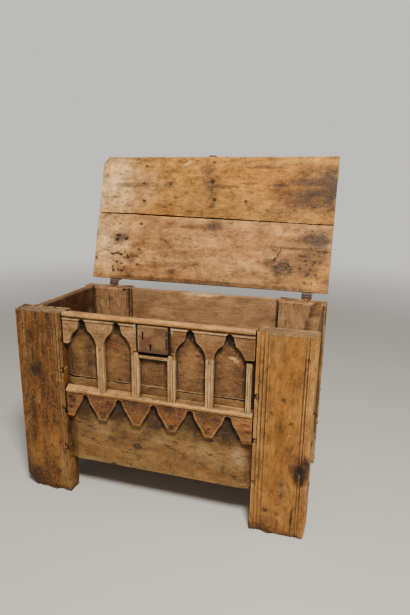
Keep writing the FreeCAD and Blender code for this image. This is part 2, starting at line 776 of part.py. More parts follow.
def lock_plate():
    """Lock plate with its rims bent back to the board, pierced for the staple and the key."""
    case = box((lock_left, lock_right), (lock_face, front_board_setback - joint_gap), (lock_low, lock_high))
    plate_y = (lock_face, lock_face + lock_plate_thickness)
    inner_x = (lock_left + lock_rim_thickness, lock_right - lock_rim_thickness)
    inner_z = (lock_low + lock_rim_thickness, lock_high - lock_rim_thickness)
    hollow = box(inner_x, (plate_y[1], front_board_setback), inner_z)
    slot_x = (staple_x - slot_width / 2, staple_x + slot_width / 2)
    slot = box(slot_x, plate_y, (slot_low, slot_low + slot_height))
    bow_start = (keyhole_x, plate_y[0], keyhole_centre_height)
    key_bow = rod(bow_start, (keyhole_x, plate_y[1], keyhole_centre_height), keyhole_radius)
    half_slot = keyhole_slot_width / 2
    key_slot_x = (keyhole_x - half_slot, keyhole_x + half_slot)
    key_slot = box(key_slot_x, plate_y, (keyhole_centre_height - keyhole_slot_length, keyhole_centre_height))
    return cut_all(case, [hollow, slot, key_bow, key_slot] + lock_nails())


def lock_bolt():
    """Sliding bolt, drawn back, with a notch that the key turns in."""
    tip_x = staple_x + staple_thickness / 2 + bolt_tip_gap
    y_ends = (lock_face + bolt_setback, lock_face + bolt_setback + bolt_thickness)
    low = bolt_centre_height - bolt_height / 2
    bolt = box((tip_x, tip_x + bolt_length), y_ends, (low, low + bolt_height))
    notch_x = (keyhole_x, keyhole_x + bolt_notch_width)
    return bolt.cut(box(notch_x, y_ends, (low, low + bolt_notch_depth)))


def bolt_guide(x):
    """Bridge on the back of the lock plate that the bolt slides through."""
    half = bolt_height / 2 + slide_fit
    window_y = (lock_face + bolt_setback - slide_fit, lock_face + bolt_setback + bolt_thickness + slide_fit)
    x_ends = (x - guide_width / 2, x + guide_width / 2)
    z_ends = (bolt_centre_height - half - guide_wall, bolt_centre_height + half + guide_wall)
    block = box(x_ends, (lock_face + lock_plate_thickness, window_y[1] + guide_wall), z_ends)
    return block.cut(box(x_ends, window_y, (bolt_centre_height - half, bolt_centre_height + half)))


def lock_spring():
    """Bowed leaf spring over the bolt, on a foot riveted to the lock plate."""
    lowest = bolt_centre_height + bolt_height / 2 + slide_fit
    middle_x = lock_left + (guides_from_left[0] + guides_from_left[1]) / 2
    y = lock_face + bolt_setback
    half_span = spring_span / 2
    end_z = lowest + spring_rise
    edges = []
    for lift in (0, spring_thickness):
        left = FreeCAD.Vector(middle_x - half_span, y, end_z + lift)
        low = FreeCAD.Vector(middle_x, y, lowest + lift)
        right = FreeCAD.Vector(middle_x + half_span, y, end_z + lift)
        edges.append(Part.Arc(left, low, right).toShape())
    for end in (-1, 1):
        low_end = FreeCAD.Vector(middle_x + end * half_span, y, end_z)
        edges.append(Part.makeLine(low_end, low_end + Z_AXIS * spring_thickness))
    leaf = Part.Face(Part.Wire(Part.__sortEdges__(edges))).extrude(Y_AXIS * spring_width)
    foot_x = (middle_x + half_span - spring_thickness, middle_x + half_span + spring_foot)
    foot_y = (lock_face + lock_plate_thickness, y + spring_width)
    return fuse_all([leaf, box(foot_x, foot_y, (end_z, end_z + spring_foot))])


# ------------------------------------------------------------------ lid, drawn shut
def lid_seam_y(x):
    """Y of the seam between the two lid boards, which isn't square to the chest."""
    share = (x - lid_left_x) / (lid_right_x - lid_left_x)
    return lid_rear_y - lid_seam_left + share * (lid_seam_left - lid_seam_right)


def lid_dowels(radius=dowel_radius):
    """Loose dowels across the seam of the lid."""
    rods = []
    z = lid_underside + lid_thickness / 2
    for x in (-dowel_pitch, 0, dowel_pitch):
        middle_y = lid_seam_y(x)
        ends = (x, middle_y - dowel_length / 2, z), (x, middle_y + dowel_length / 2, z)
        rods.append(eight_sided_bar(*ends, radius))
    return rods


def strap_nail(centre_x, from_rear, sideways):
    """Nail through a hinge strap and the lid."""
    seat = (centre_x + sideways, lid_rear_y - from_rear, lid_top + iron_thickness)
    return nail(seat, -Z_AXIS, iron_thickness + lid_thickness)


def hasp_strap_nail(from_front, sideways):
    """Nail through the hasp strap and the lid."""
    seat = (hasp_centre_x + sideways, lid_front_y + from_front, lid_top + iron_thickness)
    return nail(seat, -Z_AXIS, iron_thickness + lid_thickness)


def hinge_strap_nails():
    """Nails of both hinge straps."""
    return [strap_nail(x, *place) for x in (hinge_left_x, hinge_right_x) for place in strap_nails]


def hasp_nails():
    """Nails of the hasp strap."""
    return [hasp_strap_nail(*place) for place in hasp_strap_nails]


def lid_boards():
    """Rear and front boards of the lid; the front one has lost its left corner."""
    rear_outline = [
        (lid_left_x, lid_rear_y),
        (lid_right_x, lid_rear_y),
        (lid_right_x, lid_seam_y(lid_right_x) + lid_seam_gap / 2),
        (lid_left_x, lid_seam_y(lid_left_x) + lid_seam_gap / 2),
    ]
    front_outline = [
        (lid_left_x, lid_seam_y(lid_left_x) - lid_seam_gap / 2),
        (lid_right_x, lid_seam_y(lid_right_x) - lid_seam_gap / 2),
        (lid_right_x, lid_front_y),
        (lid_left_x + lid_broken_corner[0], lid_front_y),
        (lid_left_x, lid_front_y + lid_broken_corner[1]),
    ]
    holes = hinge_strap_nails() + hasp_nails() + lid_dowels(dowel_radius + peg_fit)
    boards = []
    for outline in (rear_outline, front_outline):
        board = prism([(x, y, lid_underside) for x, y in outline], Z_AXIS * lid_thickness)
        boards.append(cut_all(board, holes))
    return boards


def flat_strap(centre_x, start_y, length, widths, lie):
    """Flat strap on top of the lid from start_y on, to the front (lie -1) or the rear (lie 1).

    It tapers from the first width to the second and ends in a round disc.
    """
    end_y = start_y + lie * length
    outline = []
    for y, width in ((start_y, widths[0]), (end_y, widths[1])):
        pair = [(centre_x - width / 2, y, lid_top), (centre_x + width / 2, y, lid_top)]
        outline += pair if y == start_y else pair[::-1]
    bar = prism(outline, Z_AXIS * iron_thickness)
    disc = rod((centre_x, end_y, lid_top), (centre_x, end_y, lid_top + iron_thickness), strap_disc_radius)
    return fuse_all([bar, disc])


def eye(centre_x, x_ends, pin_y, pin_z, radius):
    """Rolled eye of a hinge, given by its ends to the right of centre_x."""
    return rod((centre_x + x_ends[0], pin_y, pin_z), (centre_x + x_ends[1], pin_y, pin_z), radius)


def headed_pin(centre_x, half_length, pin_y, pin_z, radius):
    """Hinge pin with a hammered, eight-sided head at both ends."""
    pieces = [eye(centre_x, (-half_length, half_length), pin_y, pin_z, radius)]
    for side in (-1, 1):
        start = (centre_x + side * half_length, pin_y, pin_z)
        end = (centre_x + side * (half_length + pin_head_thickness), pin_y, pin_z)
        pieces.append(eight_sided_bar(start, end, radius + pin_head_proud))
    return fuse_all(pieces)


def hinge_bore(centre_x):
    """Bore through all the eyes of one strap hinge."""
    return eye(centre_x, (-hinge_width, hinge_width), hinge_pin_y, hinge_pin_height, pin_radius + pin_fit)


def hinge_strap(centre_x):
    """Strap of a hinge: over the lid, down behind it and round the pin with one eye."""
    strap = flat_strap(centre_x, lid_rear_y, strap_length, (hinge_width, strap_tail_width), -1)
    back_y = (lid_rear_y, lid_rear_y + iron_thickness)
    x_ends = (centre_x - hinge_width / 2, centre_x + hinge_width / 2)
    turned = box(x_ends, back_y, (lid_top - strap_turn_down, lid_top + iron_thickness))
    half_eye = barrel_length / 2
    tongue = box((centre_x - half_eye, centre_x + half_eye), back_y, (hinge_pin_height, lid_top))
    ring = eye(centre_x, (-half_eye, half_eye), hinge_pin_y, hinge_pin_height, hinge_eye_radius)
    strap = fuse_all([strap, turned, tongue, ring])
    return cut_all(strap, [hinge_bore(centre_x)] + [strap_nail(centre_x, *place) for place in strap_nails])


def outer_eye_ends(middle_length, length):
    """Left and right ends of the right-hand eye of three, to the right of the middle."""
    start = middle_length / 2 + barrel_gap
    return start, start + length


def hinge_leaf(centre_x):
    """Leaf of a hinge on the back of a stile, with two eyes."""
    near, far = outer_eye_ends(barrel_length, barrel_length)
    back_y = (chest_depth, chest_depth + iron_thickness)
    notch_z = hinge_pin_height - hinge_eye_radius - barrel_gap
    half = hinge_width / 2
    foot_z = hinge_pin_height - leaf_length + half
    pieces = [box((centre_x - half, centre_x + half), back_y, (foot_z, notch_z))]
    pieces.append(rod((centre_x, back_y[0], foot_z), (centre_x, back_y[1], foot_z), half))
    for side in (-1, 1):
        ends = (side * near, side * far)
        pieces.append(eye(centre_x, ends, hinge_pin_y, hinge_pin_height, hinge_eye_radius))
        x_ends = (centre_x + ends[0], centre_x + ends[1])
        pieces.append(box(x_ends, back_y, (notch_z, hinge_pin_height)))
    return cut_all(fuse_all(pieces), [hinge_bore(centre_x)] + leaf_nails(centre_x))


def leaf_nails(centre_x):
    """Nails of one hinge leaf, driven from behind into the stile."""
    nails = []
    for below in leaf_nails_below:
        seat = (centre_x, chest_depth + iron_thickness, hinge_pin_height - below)
        nails.append(nail(seat, -Y_AXIS, leaf_nail_length))
    return nails


def hinge_pin(centre_x):
    """Pin of one strap hinge."""
    half_length = outer_eye_ends(barrel_length, barrel_length)[1] + barrel_gap / 2
    return headed_pin(centre_x, half_length, hinge_pin_y, hinge_pin_height, pin_radius)


def hasp_bore():
    """Bore through all the eyes of the hasp hinge."""
    ends = (-hasp_strap_width, hasp_strap_width)
    return eye(hasp_centre_x, ends, hasp_pin_y, hasp_pin_z, hasp_pin_radius + pin_fit)


def hasp_strap():
    """Strap on the front of the lid, with two eyes for the hasp ahead of the edge."""
    widths = (hasp_strap_width, hasp_tail_width)
    pieces = [flat_strap(hasp_centre_x, lid_front_y, hasp_strap_length, widths, 1)]
    near, far = outer_eye_ends(hasp_barrel_length, hasp_outer_barrel_length)
    for side in (-1, 1):
        ends = (side * near, side * far)
        pieces.append(eye(hasp_centre_x, ends, hasp_pin_y, hasp_pin_z, hasp_eye_radius))
        x_ends = (hasp_centre_x + ends[0], hasp_centre_x + ends[1])
        pieces.append(box(x_ends, (hasp_pin_y, lid_front_y), (lid_top, lid_top + iron_thickness)))
    web_x = (hasp_centre_x - far, hasp_centre_x + far)
    web_y = (hasp_pin_y + hasp_eye_radius + hasp_notch_clear, lid_front_y)
    pieces.append(box(web_x, web_y, (lid_top, lid_top + iron_thickness)))
    return cut_all(fuse_all(pieces), [hasp_bore()] + hasp_nails())


def hasp_pin():
    """Pin of the hasp hinge."""
    half_length = outer_eye_ends(hasp_barrel_length, hasp_outer_barrel_length)[1] + barrel_gap / 2
    return headed_pin(hasp_centre_x, half_length, hasp_pin_y, hasp_pin_z, hasp_pin_radius)


def bent_plate(path, x_ends):
    """Iron plate that follows a bent path of (y, z) points, with round bends."""
    half = iron_thickness / 2
    pieces = []
    for start, end in zip(path, path[1:]):
        start = FreeCAD.Vector(x_ends[0], *start)
        run = FreeCAD.Vector(x_ends[0], *end) - start
        edge = X_AXIS.cross(run).normalize() * half
        outline = [start - edge, start + edge, start + run + edge, start + run - edge]
        pieces.append(prism(outline, X_AXIS * (x_ends[1] - x_ends[0])))
    for y, z in path[1:-1]:
        pieces.append(rod((x_ends[0], y, z), (x_ends[1], y, z), half))
    return fuse_all(pieces)


def hasp_staple():
    """Staple riveted to the hasp: a loop that enters the lock for the bolt to hold."""
    x_ends = (staple_x - staple_thickness / 2, staple_x + staple_thickness / 2)
    outer = staple_height / 2
    start_y = lock_face - hasp_plate_gap - iron_thickness - rivet_proud
    bow_y = lock_face - hasp_plate_gap + staple_reach - outer
    shapes = []
    for radius in (outer, outer - staple_wire):
        legs = box(x_ends, (start_y, bow_y), (bolt_centre_height - radius, bolt_centre_height + radius))
        bow = rod((x_ends[0], bow_y, bolt_centre_height), (x_ends[1], bow_y, bolt_centre_height), radius)
        shapes.append(fuse_all([legs, bow]))
    return cut_all(shapes[0], [shapes[1]])


def hasp_plate():
    """Hasp: an eye, a narrow arm, then a wide plate cranked back over the lock plate."""
    hang_y = hasp_pin_y + hasp_eye_radius - iron_thickness / 2
    plate_y = lock_face - hasp_plate_gap - iron_thickness / 2
    half = hasp_plate_width / 2
    path = [
        (hang_y, hasp_shoulder_height),
        (hang_y, hasp_bend_high),
        (plate_y, hasp_bend_high - hasp_bend_height),
        (plate_y, lock_low + hasp_foot_above_lock_foot),
    ]
    plate = bent_plate(path, (hasp_centre_x - half, hasp_centre_x + half))
    half_eye = hasp_barrel_length / 2
    arm_y = (hang_y - iron_thickness / 2, hang_y + iron_thickness / 2)
    arm = box((hasp_centre_x - half_eye, hasp_centre_x + half_eye), arm_y, (hasp_shoulder_height, hasp_pin_z))
    ring = eye(hasp_centre_x, (-half_eye, half_eye), hasp_pin_y, hasp_pin_z, hasp_eye_radius)
    return cut_all(fuse_all([plate, arm, ring]), [hasp_bore(), hasp_staple()])


# ------------------------------------------------------------------ poses of lid and hasp
def lid_thrown_back(shape):
    """The shape turned with the lid about the hinge pins, from shut to open."""
    turned = shape.copy()
    turned.rotate(FreeCAD.Vector(0, hinge_pin_y, hinge_pin_height), X_AXIS, -lid_open_angle)
    return turned


def hasp_hanging(shapes):
    """Shapes of the hasp turned about its pin so that, on the open lid, they hang plumb."""
    volume = sum(shape.Volume for shape in shapes)
    centre_y = sum(shape.CenterOfMass.y * shape.Volume for shape in shapes) / volume
    centre_z = sum(shape.CenterOfMass.z * shape.Volume for shape in shapes) / volume
    lean = math.degrees(math.atan2(centre_z - hasp_pin_z, centre_y - hasp_pin_y))
    turned = []
    for shape in shapes:
        loose = shape.copy()
        loose.rotate(FreeCAD.Vector(0, hasp_pin_y, hasp_pin_z), X_AXIS, lid_open_angle - 90 - lean)
        turned.append(loose)
    return turned


# ------------------------------------------------------------------ all pieces, by node
nodes = {}

nodes["stile_front_left"] = front_stile(-1, left_foot_wear)
nodes["stile_front_right"] = front_stile(1, right_foot_wear)
nodes["stile_back_left"] = back_stile(-1)
nodes["stile_back_right"] = back_stile(1)
nodes["front_board_upper"], nodes["front_board_lower"] = front_boards()
nodes["back_board_upper"], nodes["back_board_lower"] = back_boards()
nodes["end_board_left_upper"], nodes["end_board_left_lower"] = end_boards(-1)
nodes["end_board_right_upper"], nodes["end_board_right_lower"] = end_boards(1)
for index in range(bottom_board_count):
    nodes[f"bottom_board_{index + 1}"] = bottom_board(index)
nodes["front_pegs"] = group(front_pegs())
nodes["back_pegs"] = group(back_pegs())
nodes["end_pegs_left"] = group(end_pegs(-1))
nodes["end_pegs_right"] = group(end_pegs(1))

nodes["bead_moulding"] = bead_moulding()
nodes["arcade_head_left"] = arcade_head(-1, arch_centres[:2], colonnette_centres[1], 0)
nodes["arcade_head_right"] = arcade_head(1, arch_centres[2:], colonnette_centres[2], end_spandrel_rise)
nodes["colonnette_1"] = colonnette(colonnette_centres[0], colonnette_width, spandrel_foot - joint_gap)
nodes["colonnette_2"] = knobbed_colonnette(colonnette_centres[1], 1)
nodes["colonnette_3"] = knobbed_colonnette(colonnette_centres[2], -1)
nodes["colonnette_4"] = colonnette(colonnette_centres[3], colonnette_width, spandrel_foot - joint_gap)
nodes["colonnette_5"] = colonnette(end_colonnette_x, end_colonnette_width, spandrel_foot + end_colonnette_rise)
nodes["rail_under_lock"] = rail_under_lock()
nodes["sill_moulding"] = sill_moulding()
nodes["pendant_frieze"] = pendant_frieze()
nodes["ornament_nails"] = group(
    [small_nail(x, ornament_face, z, ornament_nail_length) for x, z in ornament_nails]
)

nodes["lock_plate"] = lock_plate()
nodes["lock_nails"] = group(lock_nails())
nodes["key_pin"] = key_pin()
nodes["lock_bolt"] = lock_bolt()
nodes["bolt_guides"] = group([bolt_guide(lock_left + place) for place in guides_from_left])
nodes["lock_spring"] = lock_spring()
for fixing in ("ornament_nails", "lock_nails", "key_pin"):
    nodes["front_board_upper"] = nodes["front_board_upper"].cut(nodes[fixing])
for nailed in ("colonnette_1", "colonnette_4", "arcade_head_left"):
    nodes[nailed] = nodes[nailed].cut(nodes["ornament_nails"])

nodes["hinge_leaf_left"] = hinge_leaf(hinge_left_x)
nodes["hinge_leaf_right"] = hinge_leaf(hinge_right_x)
nodes["hinge_pin_left"] = hinge_pin(hinge_left_x)
nodes["hinge_pin_right"] = hinge_pin(hinge_right_x)
nodes["hinge_leaf_nails"] = group(leaf_nails(hinge_left_x) + leaf_nails(hinge_right_x))
for stile in ("stile_back_left", "stile_back_right"):
    nodes[stile] = nodes[stile].cut(nodes["hinge_leaf_nails"])

lid_nodes = {}
lid_nodes["lid_board_rear"], lid_nodes["lid_board_front"] = lid_boards()
lid_nodes["lid_dowels"] = group(lid_dowels())
lid_nodes["hinge_strap_left"] = hinge_strap(hinge_left_x)
lid_nodes["hinge_strap_right"] = hinge_strap(hinge_right_x)
lid_nodes["hinge_strap_nails"] = group(hinge_strap_nails())
lid_nodes["hasp_strap"] = hasp_strap()
lid_nodes["hasp_pin"] = hasp_pin()
lid_nodes["hasp_strap_nails"] = group(hasp_nails())
lid_nodes["hasp_plate"], lid_nodes["hasp_staple"] = hasp_hanging([hasp_plate(), hasp_staple()])
for name, shape in lid_nodes.items():
    nodes[name] = lid_thrown_back(shape)

# ------------------------------------------------------------------ move over the origin and save
outline = group(list(nodes.values())).BoundBox
to_origin = FreeCAD.Vector(-outline.Center.x, -outline.Center.y, 0)
os.makedirs("parts", exist_ok=True)
for name, shape in nodes.items():
    shape.translate(to_origin)
    shape.exportStep(f"parts/{name}.step")
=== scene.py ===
"""An oak coffer with a clamped front, thrown open, dressed for rendering around its CAD frame."""
import math
import random

import bmesh
import bpy
from mathutils import Matrix, Vector


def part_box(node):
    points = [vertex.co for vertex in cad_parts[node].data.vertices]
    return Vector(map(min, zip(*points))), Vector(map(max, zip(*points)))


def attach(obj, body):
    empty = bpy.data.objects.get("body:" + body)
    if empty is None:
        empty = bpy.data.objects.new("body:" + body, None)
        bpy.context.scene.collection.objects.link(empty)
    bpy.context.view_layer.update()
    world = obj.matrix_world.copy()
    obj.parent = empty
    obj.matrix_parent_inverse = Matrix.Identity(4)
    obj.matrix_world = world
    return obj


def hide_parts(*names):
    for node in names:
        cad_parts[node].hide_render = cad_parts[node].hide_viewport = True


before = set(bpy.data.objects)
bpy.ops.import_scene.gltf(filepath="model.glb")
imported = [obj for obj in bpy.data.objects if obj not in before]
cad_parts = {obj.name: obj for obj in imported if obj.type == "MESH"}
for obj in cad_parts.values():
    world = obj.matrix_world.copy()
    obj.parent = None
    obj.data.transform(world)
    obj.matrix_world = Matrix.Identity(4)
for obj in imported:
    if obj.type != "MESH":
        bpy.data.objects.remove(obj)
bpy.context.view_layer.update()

MM = 0.001

# ---------------------------------------------------------------- camera
# The viewer stands in front of the coffer, to the right of its middle and a little above
# the lock, and looks down across it. A wide lens, held almost level from side to side.
camera_place = Vector((0.5469, -1.65597, 1.0715))
turned_left = math.radians(16.296)
tipped_down = math.radians(14.330)
leant_over = math.radians(0.834)
ahead = Vector((
    -math.sin(turned_left) * math.cos(tipped_down),
    math.cos(turned_left) * math.cos(tipped_down),
    -math.sin(tipped_down),
))
level_right = Vector((math.cos(turned_left), math.sin(turned_left), 0))
level_up = level_right.cross(ahead)
camera_right = math.cos(leant_over) * level_right + math.sin(leant_over) * level_up
camera_up = math.cos(leant_over) * level_up - math.sin(leant_over) * level_right
bpy.ops.object.select_all(action="DESELECT")
bpy.ops.object.camera_add()
camera = bpy.context.object
camera.name = "camera"
camera.matrix_world = Matrix((
    (camera_right.x, camera_up.x, -ahead.x, camera_place.x),
    (camera_right.y, camera_up.y, -ahead.y, camera_place.y),
    (camera_right.z, camera_up.z, -ahead.z, camera_place.z),
    (0, 0, 0, 1),
))
camera.data.sensor_width = 36
camera.data.lens = 27.93
camera.data.clip_end = 60
bpy.context.scene.camera = camera


# ---------------------------------------------------------------- studio
# A pale floor that fades into a pale backdrop, one large soft lamp from the upper right in
# front, and an even sky light. Together they light a white card to a little under white.
def linear(hex_colour):
    """Linear colour of an sRGB hex value, as the shaders take it."""
    channels = [int(hex_colour[start:start + 2], 16) / 255 for start in (1, 3, 5)]
    steps = [c / 12.92 if c <= 0.04045 else ((c + 0.055) / 1.055) ** 2.4 for c in channels]
    return (*steps, 1)


def add(tree, kind, options, inputs):
    """Adds a node: options are its settings, inputs its sockets' values or links from other nodes."""
    made = tree.nodes.new(kind)
    for name, value in options.items():
        setattr(made, name, value)
    for name, value in inputs.items():
        if isinstance(value, bpy.types.NodeSocket):
            tree.links.new(value, made.inputs[name])
        else:
            made.inputs[name].default_value = value
    return made


def new_tree(owner):
    """Empty node tree of a new material or world."""
    owner.use_nodes = True
    owner.node_tree.nodes.clear()
    return owner.node_tree


def reckon(tree, operation, *values):
    """Result of a sum that the shader works out."""
    made = add(tree, "ShaderNodeMath", {"operation": operation}, dict(enumerate(values)))
    return made.outputs["Value"]


def reckon_vector(tree, operation, *values):
    """The same for vectors. A length or a dot product comes out as a number."""
    made = add(tree, "ShaderNodeVectorMath", {"operation": operation}, dict(enumerate(values)))
    return made.outputs["Value" if operation in ("LENGTH", "DOT_PRODUCT") else "Vector"]


backdrop_colour = "#e4e2de"
floor_colour = "#cdc9c1"

bpy.ops.mesh.primitive_circle_add(vertices=96, radius=14, fill_type="NGON")
floor = bpy.context.object
floor.name = "studio_floor"
# The floor gives the eye a matt, warm pale grey that fades into the backdrop.
floor_paint = bpy.data.materials.new("matt_studio_floor")
tree = new_tree(floor_paint)
place = add(tree, "ShaderNodeTexCoord", {}, {})
fade = add(tree, "ShaderNodeMapRange", {"interpolation_type": "SMOOTHSTEP"}, {
    "Value": reckon_vector(tree, "LENGTH", place.outputs["Object"]), "From Min": 1.6, "From Max": 6.0,
})
rays = add(tree, "ShaderNodeLightPath", {}, {}).outputs
seen = reckon(tree, "MAXIMUM", rays["Is Camera Ray"], rays["Is Glossy Ray"])
matt = add(tree, "ShaderNodeBsdfDiffuse", {}, {"Color": linear(floor_colour)})
glow = add(tree, "ShaderNodeEmission", {}, {"Color": linear(backdrop_colour)})
both = add(tree, "ShaderNodeMixShader", {}, {
    0: reckon(tree, "MULTIPLY", fade.outputs["Result"], seen),
    1: matt.outputs["BSDF"], 2: glow.outputs["Emission"],
})
add(tree, "ShaderNodeOutputMaterial", {}, {"Surface": both.outputs["Shader"]})
floor.data.materials.append(floor_paint)

# The sky gives an even light, and the eye meets the backdrop's own colour in its place.
world = bpy.data.worlds.new("studio")
bpy.context.scene.world = world
tree = new_tree(world)
rays = add(tree, "ShaderNodeLightPath", {}, {}).outputs
seen = reckon(tree, "MAXIMUM", rays["Is Camera Ray"], rays["Is Glossy Ray"])
seen = reckon(tree, "MAXIMUM", seen, rays["Is Transmission Ray"])
sky = add(tree, "ShaderNodeBackground", {}, {"Color": linear("#fffdf8"), "Strength": 0.28})
backdrop = add(tree, "ShaderNodeBackground", {}, {"Color": linear(backdrop_colour), "Strength": 1})
both = add(tree, "ShaderNodeMixShader", {}, {
    0: seen, 1: sky.outputs["Background"], 2: backdrop.outputs["Background"],
})
add(tree, "ShaderNodeOutputWorld", {}, {"Surface": both.outputs["Shader"]})

bpy.ops.object.light_add(type="AREA")
lamp = bpy.context.object
lamp.name = "soft_lamp"
lamp.data.shape = "DISK"
lamp.data.size = 0.7
lamp.data.energy = 150
lamp.data.color = (1, 0.975, 0.94)
lamp_place = Vector((0.95, -1.95, 2.95))
lamp.matrix_world = Matrix.Translation(lamp_place) @ (
    (lamp_place - Vector((0, 0, 0.5))).to_track_quat("Z", "Y").to_matrix().to_4x4()
)


# ---------------------------------------------------------------- front stiles
# Two broad oak planks that run down to the floor as feet, set on end with the grain upright.
# Sawn, planed, cut with reeds along both edges, then worn round and rough at every corner.
def copy_of(node):
    """A copy of a CAD piece to be worked on, its loose triangles joined into whole faces."""
    bpy.ops.object.select_all(action="DESELECT")
    piece = bpy.data.objects.new(node + "_worn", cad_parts[node].data.copy())
    bpy.context.collection.objects.link(piece)
    piece.select_set(True)
    bpy.context.view_layer.objects.active = piece
    bpy.ops.mesh.customdata_custom_splitnormals_clear()
    bpy.ops.object.mode_set(mode="EDIT")
    bpy.ops.mesh.select_all(action="SELECT")
    bpy.ops.mesh.remove_doubles(threshold=0.01 * MM)
    bpy.ops.mesh.dissolve_limited(angle_limit=math.radians(0.5))
    bpy.ops.object.mode_set(mode="OBJECT")
    return piece


def cut_rows(piece, axis, spacing, edge):
    """Cuts a piece's faces into rows along one axis, with a narrow one at both ends."""
    low = min(vertex.co[axis] for vertex in piece.data.vertices)
    high = max(vertex.co[axis] for vertex in piece.data.vertices)
    count = max(1, round((high - low - 2 * edge) / spacing))
    places = [low + edge + (high - low - 2 * edge) * step / count for step in range(count + 1)]
    normal = Vector((0, 0, 0))
    normal[axis] = 1
    bpy.ops.object.mode_set(mode="EDIT")
    for place in places:
        bpy.ops.mesh.select_all(action="SELECT")
        bpy.ops.mesh.bisect(plane_co=normal * place, plane_no=normal, threshold=0.05 * MM)
    bpy.ops.object.mode_set(mode="OBJECT")


def weather(piece, group, depth, size):
    """Eats into a piece's surface unevenly: depth is the deepest loss, size that of the hollows."""
    hollows = bpy.data.textures.new("hollows", "CLOUDS")
    hollows.noise_scale = size
    hollows.noise_depth = 2
    wear = piece.modifiers.new("wear", "DISPLACE")
    wear.texture = hollows
    wear.texture_coords = "LOCAL"
    wear.strength = depth
    wear.mid_level = 1
    if group:
        wear.vertex_group = group
    bpy.context.view_layer.objects.active = piece
    bpy.ops.object.modifier_apply(modifier=wear.name)


def group_points(piece, name, chosen):
    """Names the points of a piece that a rule chooses, so that wear can be kept to them."""
    group = piece.vertex_groups.new(name=name)
    group.add([vertex.index for vertex in piece.data.vertices if chosen(vertex)], 1, "REPLACE")


def sharp_points(piece, shortest):
    """Indices of the points on a piece's outward corners, its small bores left out."""
    mesh = bmesh.new()
    mesh.from_mesh(piece.data)
    corners = set()
    for edge in mesh.edges:
        turned = len(edge.link_faces) == 2 and edge.calc_face_angle_signed() > math.radians(50)
        if turned and edge.calc_length() > shortest:
            corners.update(vertex.index for vertex in edge.verts)
    mesh.free()
    return corners


def finish_shading(piece, angle=28):
    """Rounds a piece's shading over its gentle bends and keeps its corners."""
    bpy.ops.object.select_all(action="DESELECT")
    piece.select_set(True)
    bpy.context.view_layer.objects.active = piece
    bpy.ops.object.shade_smooth_by_angle(angle=math.radians(angle))


def worn_plank(node, rows, edge=4 * MM, loss=5 * MM, end_loss=0, uneven_face=1.2 * MM):
    """A CAD plank with worn arrises and an uneven face, cut into rows along two axes."""
    piece = copy_of(node)
    for axis, spacing in rows.items():
        cut_rows(piece, axis, spacing, edge)
    corners = sharp_points(piece, 3 * MM)
    group_points(piece, "arrises", lambda vertex: vertex.index in corners)
    if end_loss:
        top = max(vertex.co.z for vertex in piece.data.vertices) - 0.5 * MM
        group_points(piece, "top", lambda vertex: vertex.co.z > top)
        weather(piece, "top", end_loss, 16 * MM)
        group_points(piece, "foot", lambda vertex: vertex.co.z < 14 * MM)
        weather(piece, "foot", 1.4 * end_loss, 34 * MM)
    weather(piece, "arrises", loss, 26 * MM)
    weather(piece, "arrises", loss, 110 * MM)
    weather(piece, "", uneven_face, 90 * MM)
    for vertex in piece.data.vertices:
        vertex.co.z = max(vertex.co.z, 0)
    finish_shading(piece)
    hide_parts(node)
    return piece


def noise(tree, place, scale, detail, roughness=0.5):
    """Noise with so many features to the metre, finer ones on top as detail and roughness grow."""
    return add(tree, "ShaderNodeTexNoise", {}, {
        "Vector": place, "Scale": scale, "Detail": detail, "Roughness": roughness,
    }).outputs


def mask(tree, value, start, end, most=1.0, kind="SMOOTHSTEP"):
    """Turns a pattern into a mask that is none at start and most at end."""
    return add(tree, "ShaderNodeMapRange", {"interpolation_type": kind}, {
        "Value": value, "From Min": start, "From Max": end, "To Max": most,
    }).outputs["Result"]


def laid_over(tree, colour, over, share):
    """Colour with another laid over it by a mask."""
    return add(tree, "ShaderNodeMix", {"data_type": "RGBA"}, {
        0: share, 6: colour, 7: linear(over),
    }).outputs[2]


def away_from(tree, place, spot, spread):
    """Offset from a spot's middle, and its length as a share of the spot's half sizes."""
    offset = reckon_vector(tree, "SUBTRACT", place, tuple(coordinate * MM for coordinate in spot[:3]))
    share = tuple(1 / (spread * half * MM) for half in spot[3:6])
    return offset, reckon_vector(tree, "LENGTH", reckon_vector(tree, "MULTIPLY", offset, share))


def flatness(tree, radius):
    """How flat a face is: 1 away from corners, less within a radius of one."""
    shape = add(tree, "ShaderNodeNewGeometry", {}, {})
    rounded = add(tree, "ShaderNodeBevel", {"samples": 4}, {"Radius": radius})
    return reckon_vector(tree, "DOT_PRODUCT", shape.outputs["Normal"], rounded.outputs["Normal"])


dirt = "#2a190c"
broad_mark = 15  # half size in millimetres from which a mark fades softly at its outline
broad_outline = (2.1, 0.95)
small_outline = (1.85, 1.35)


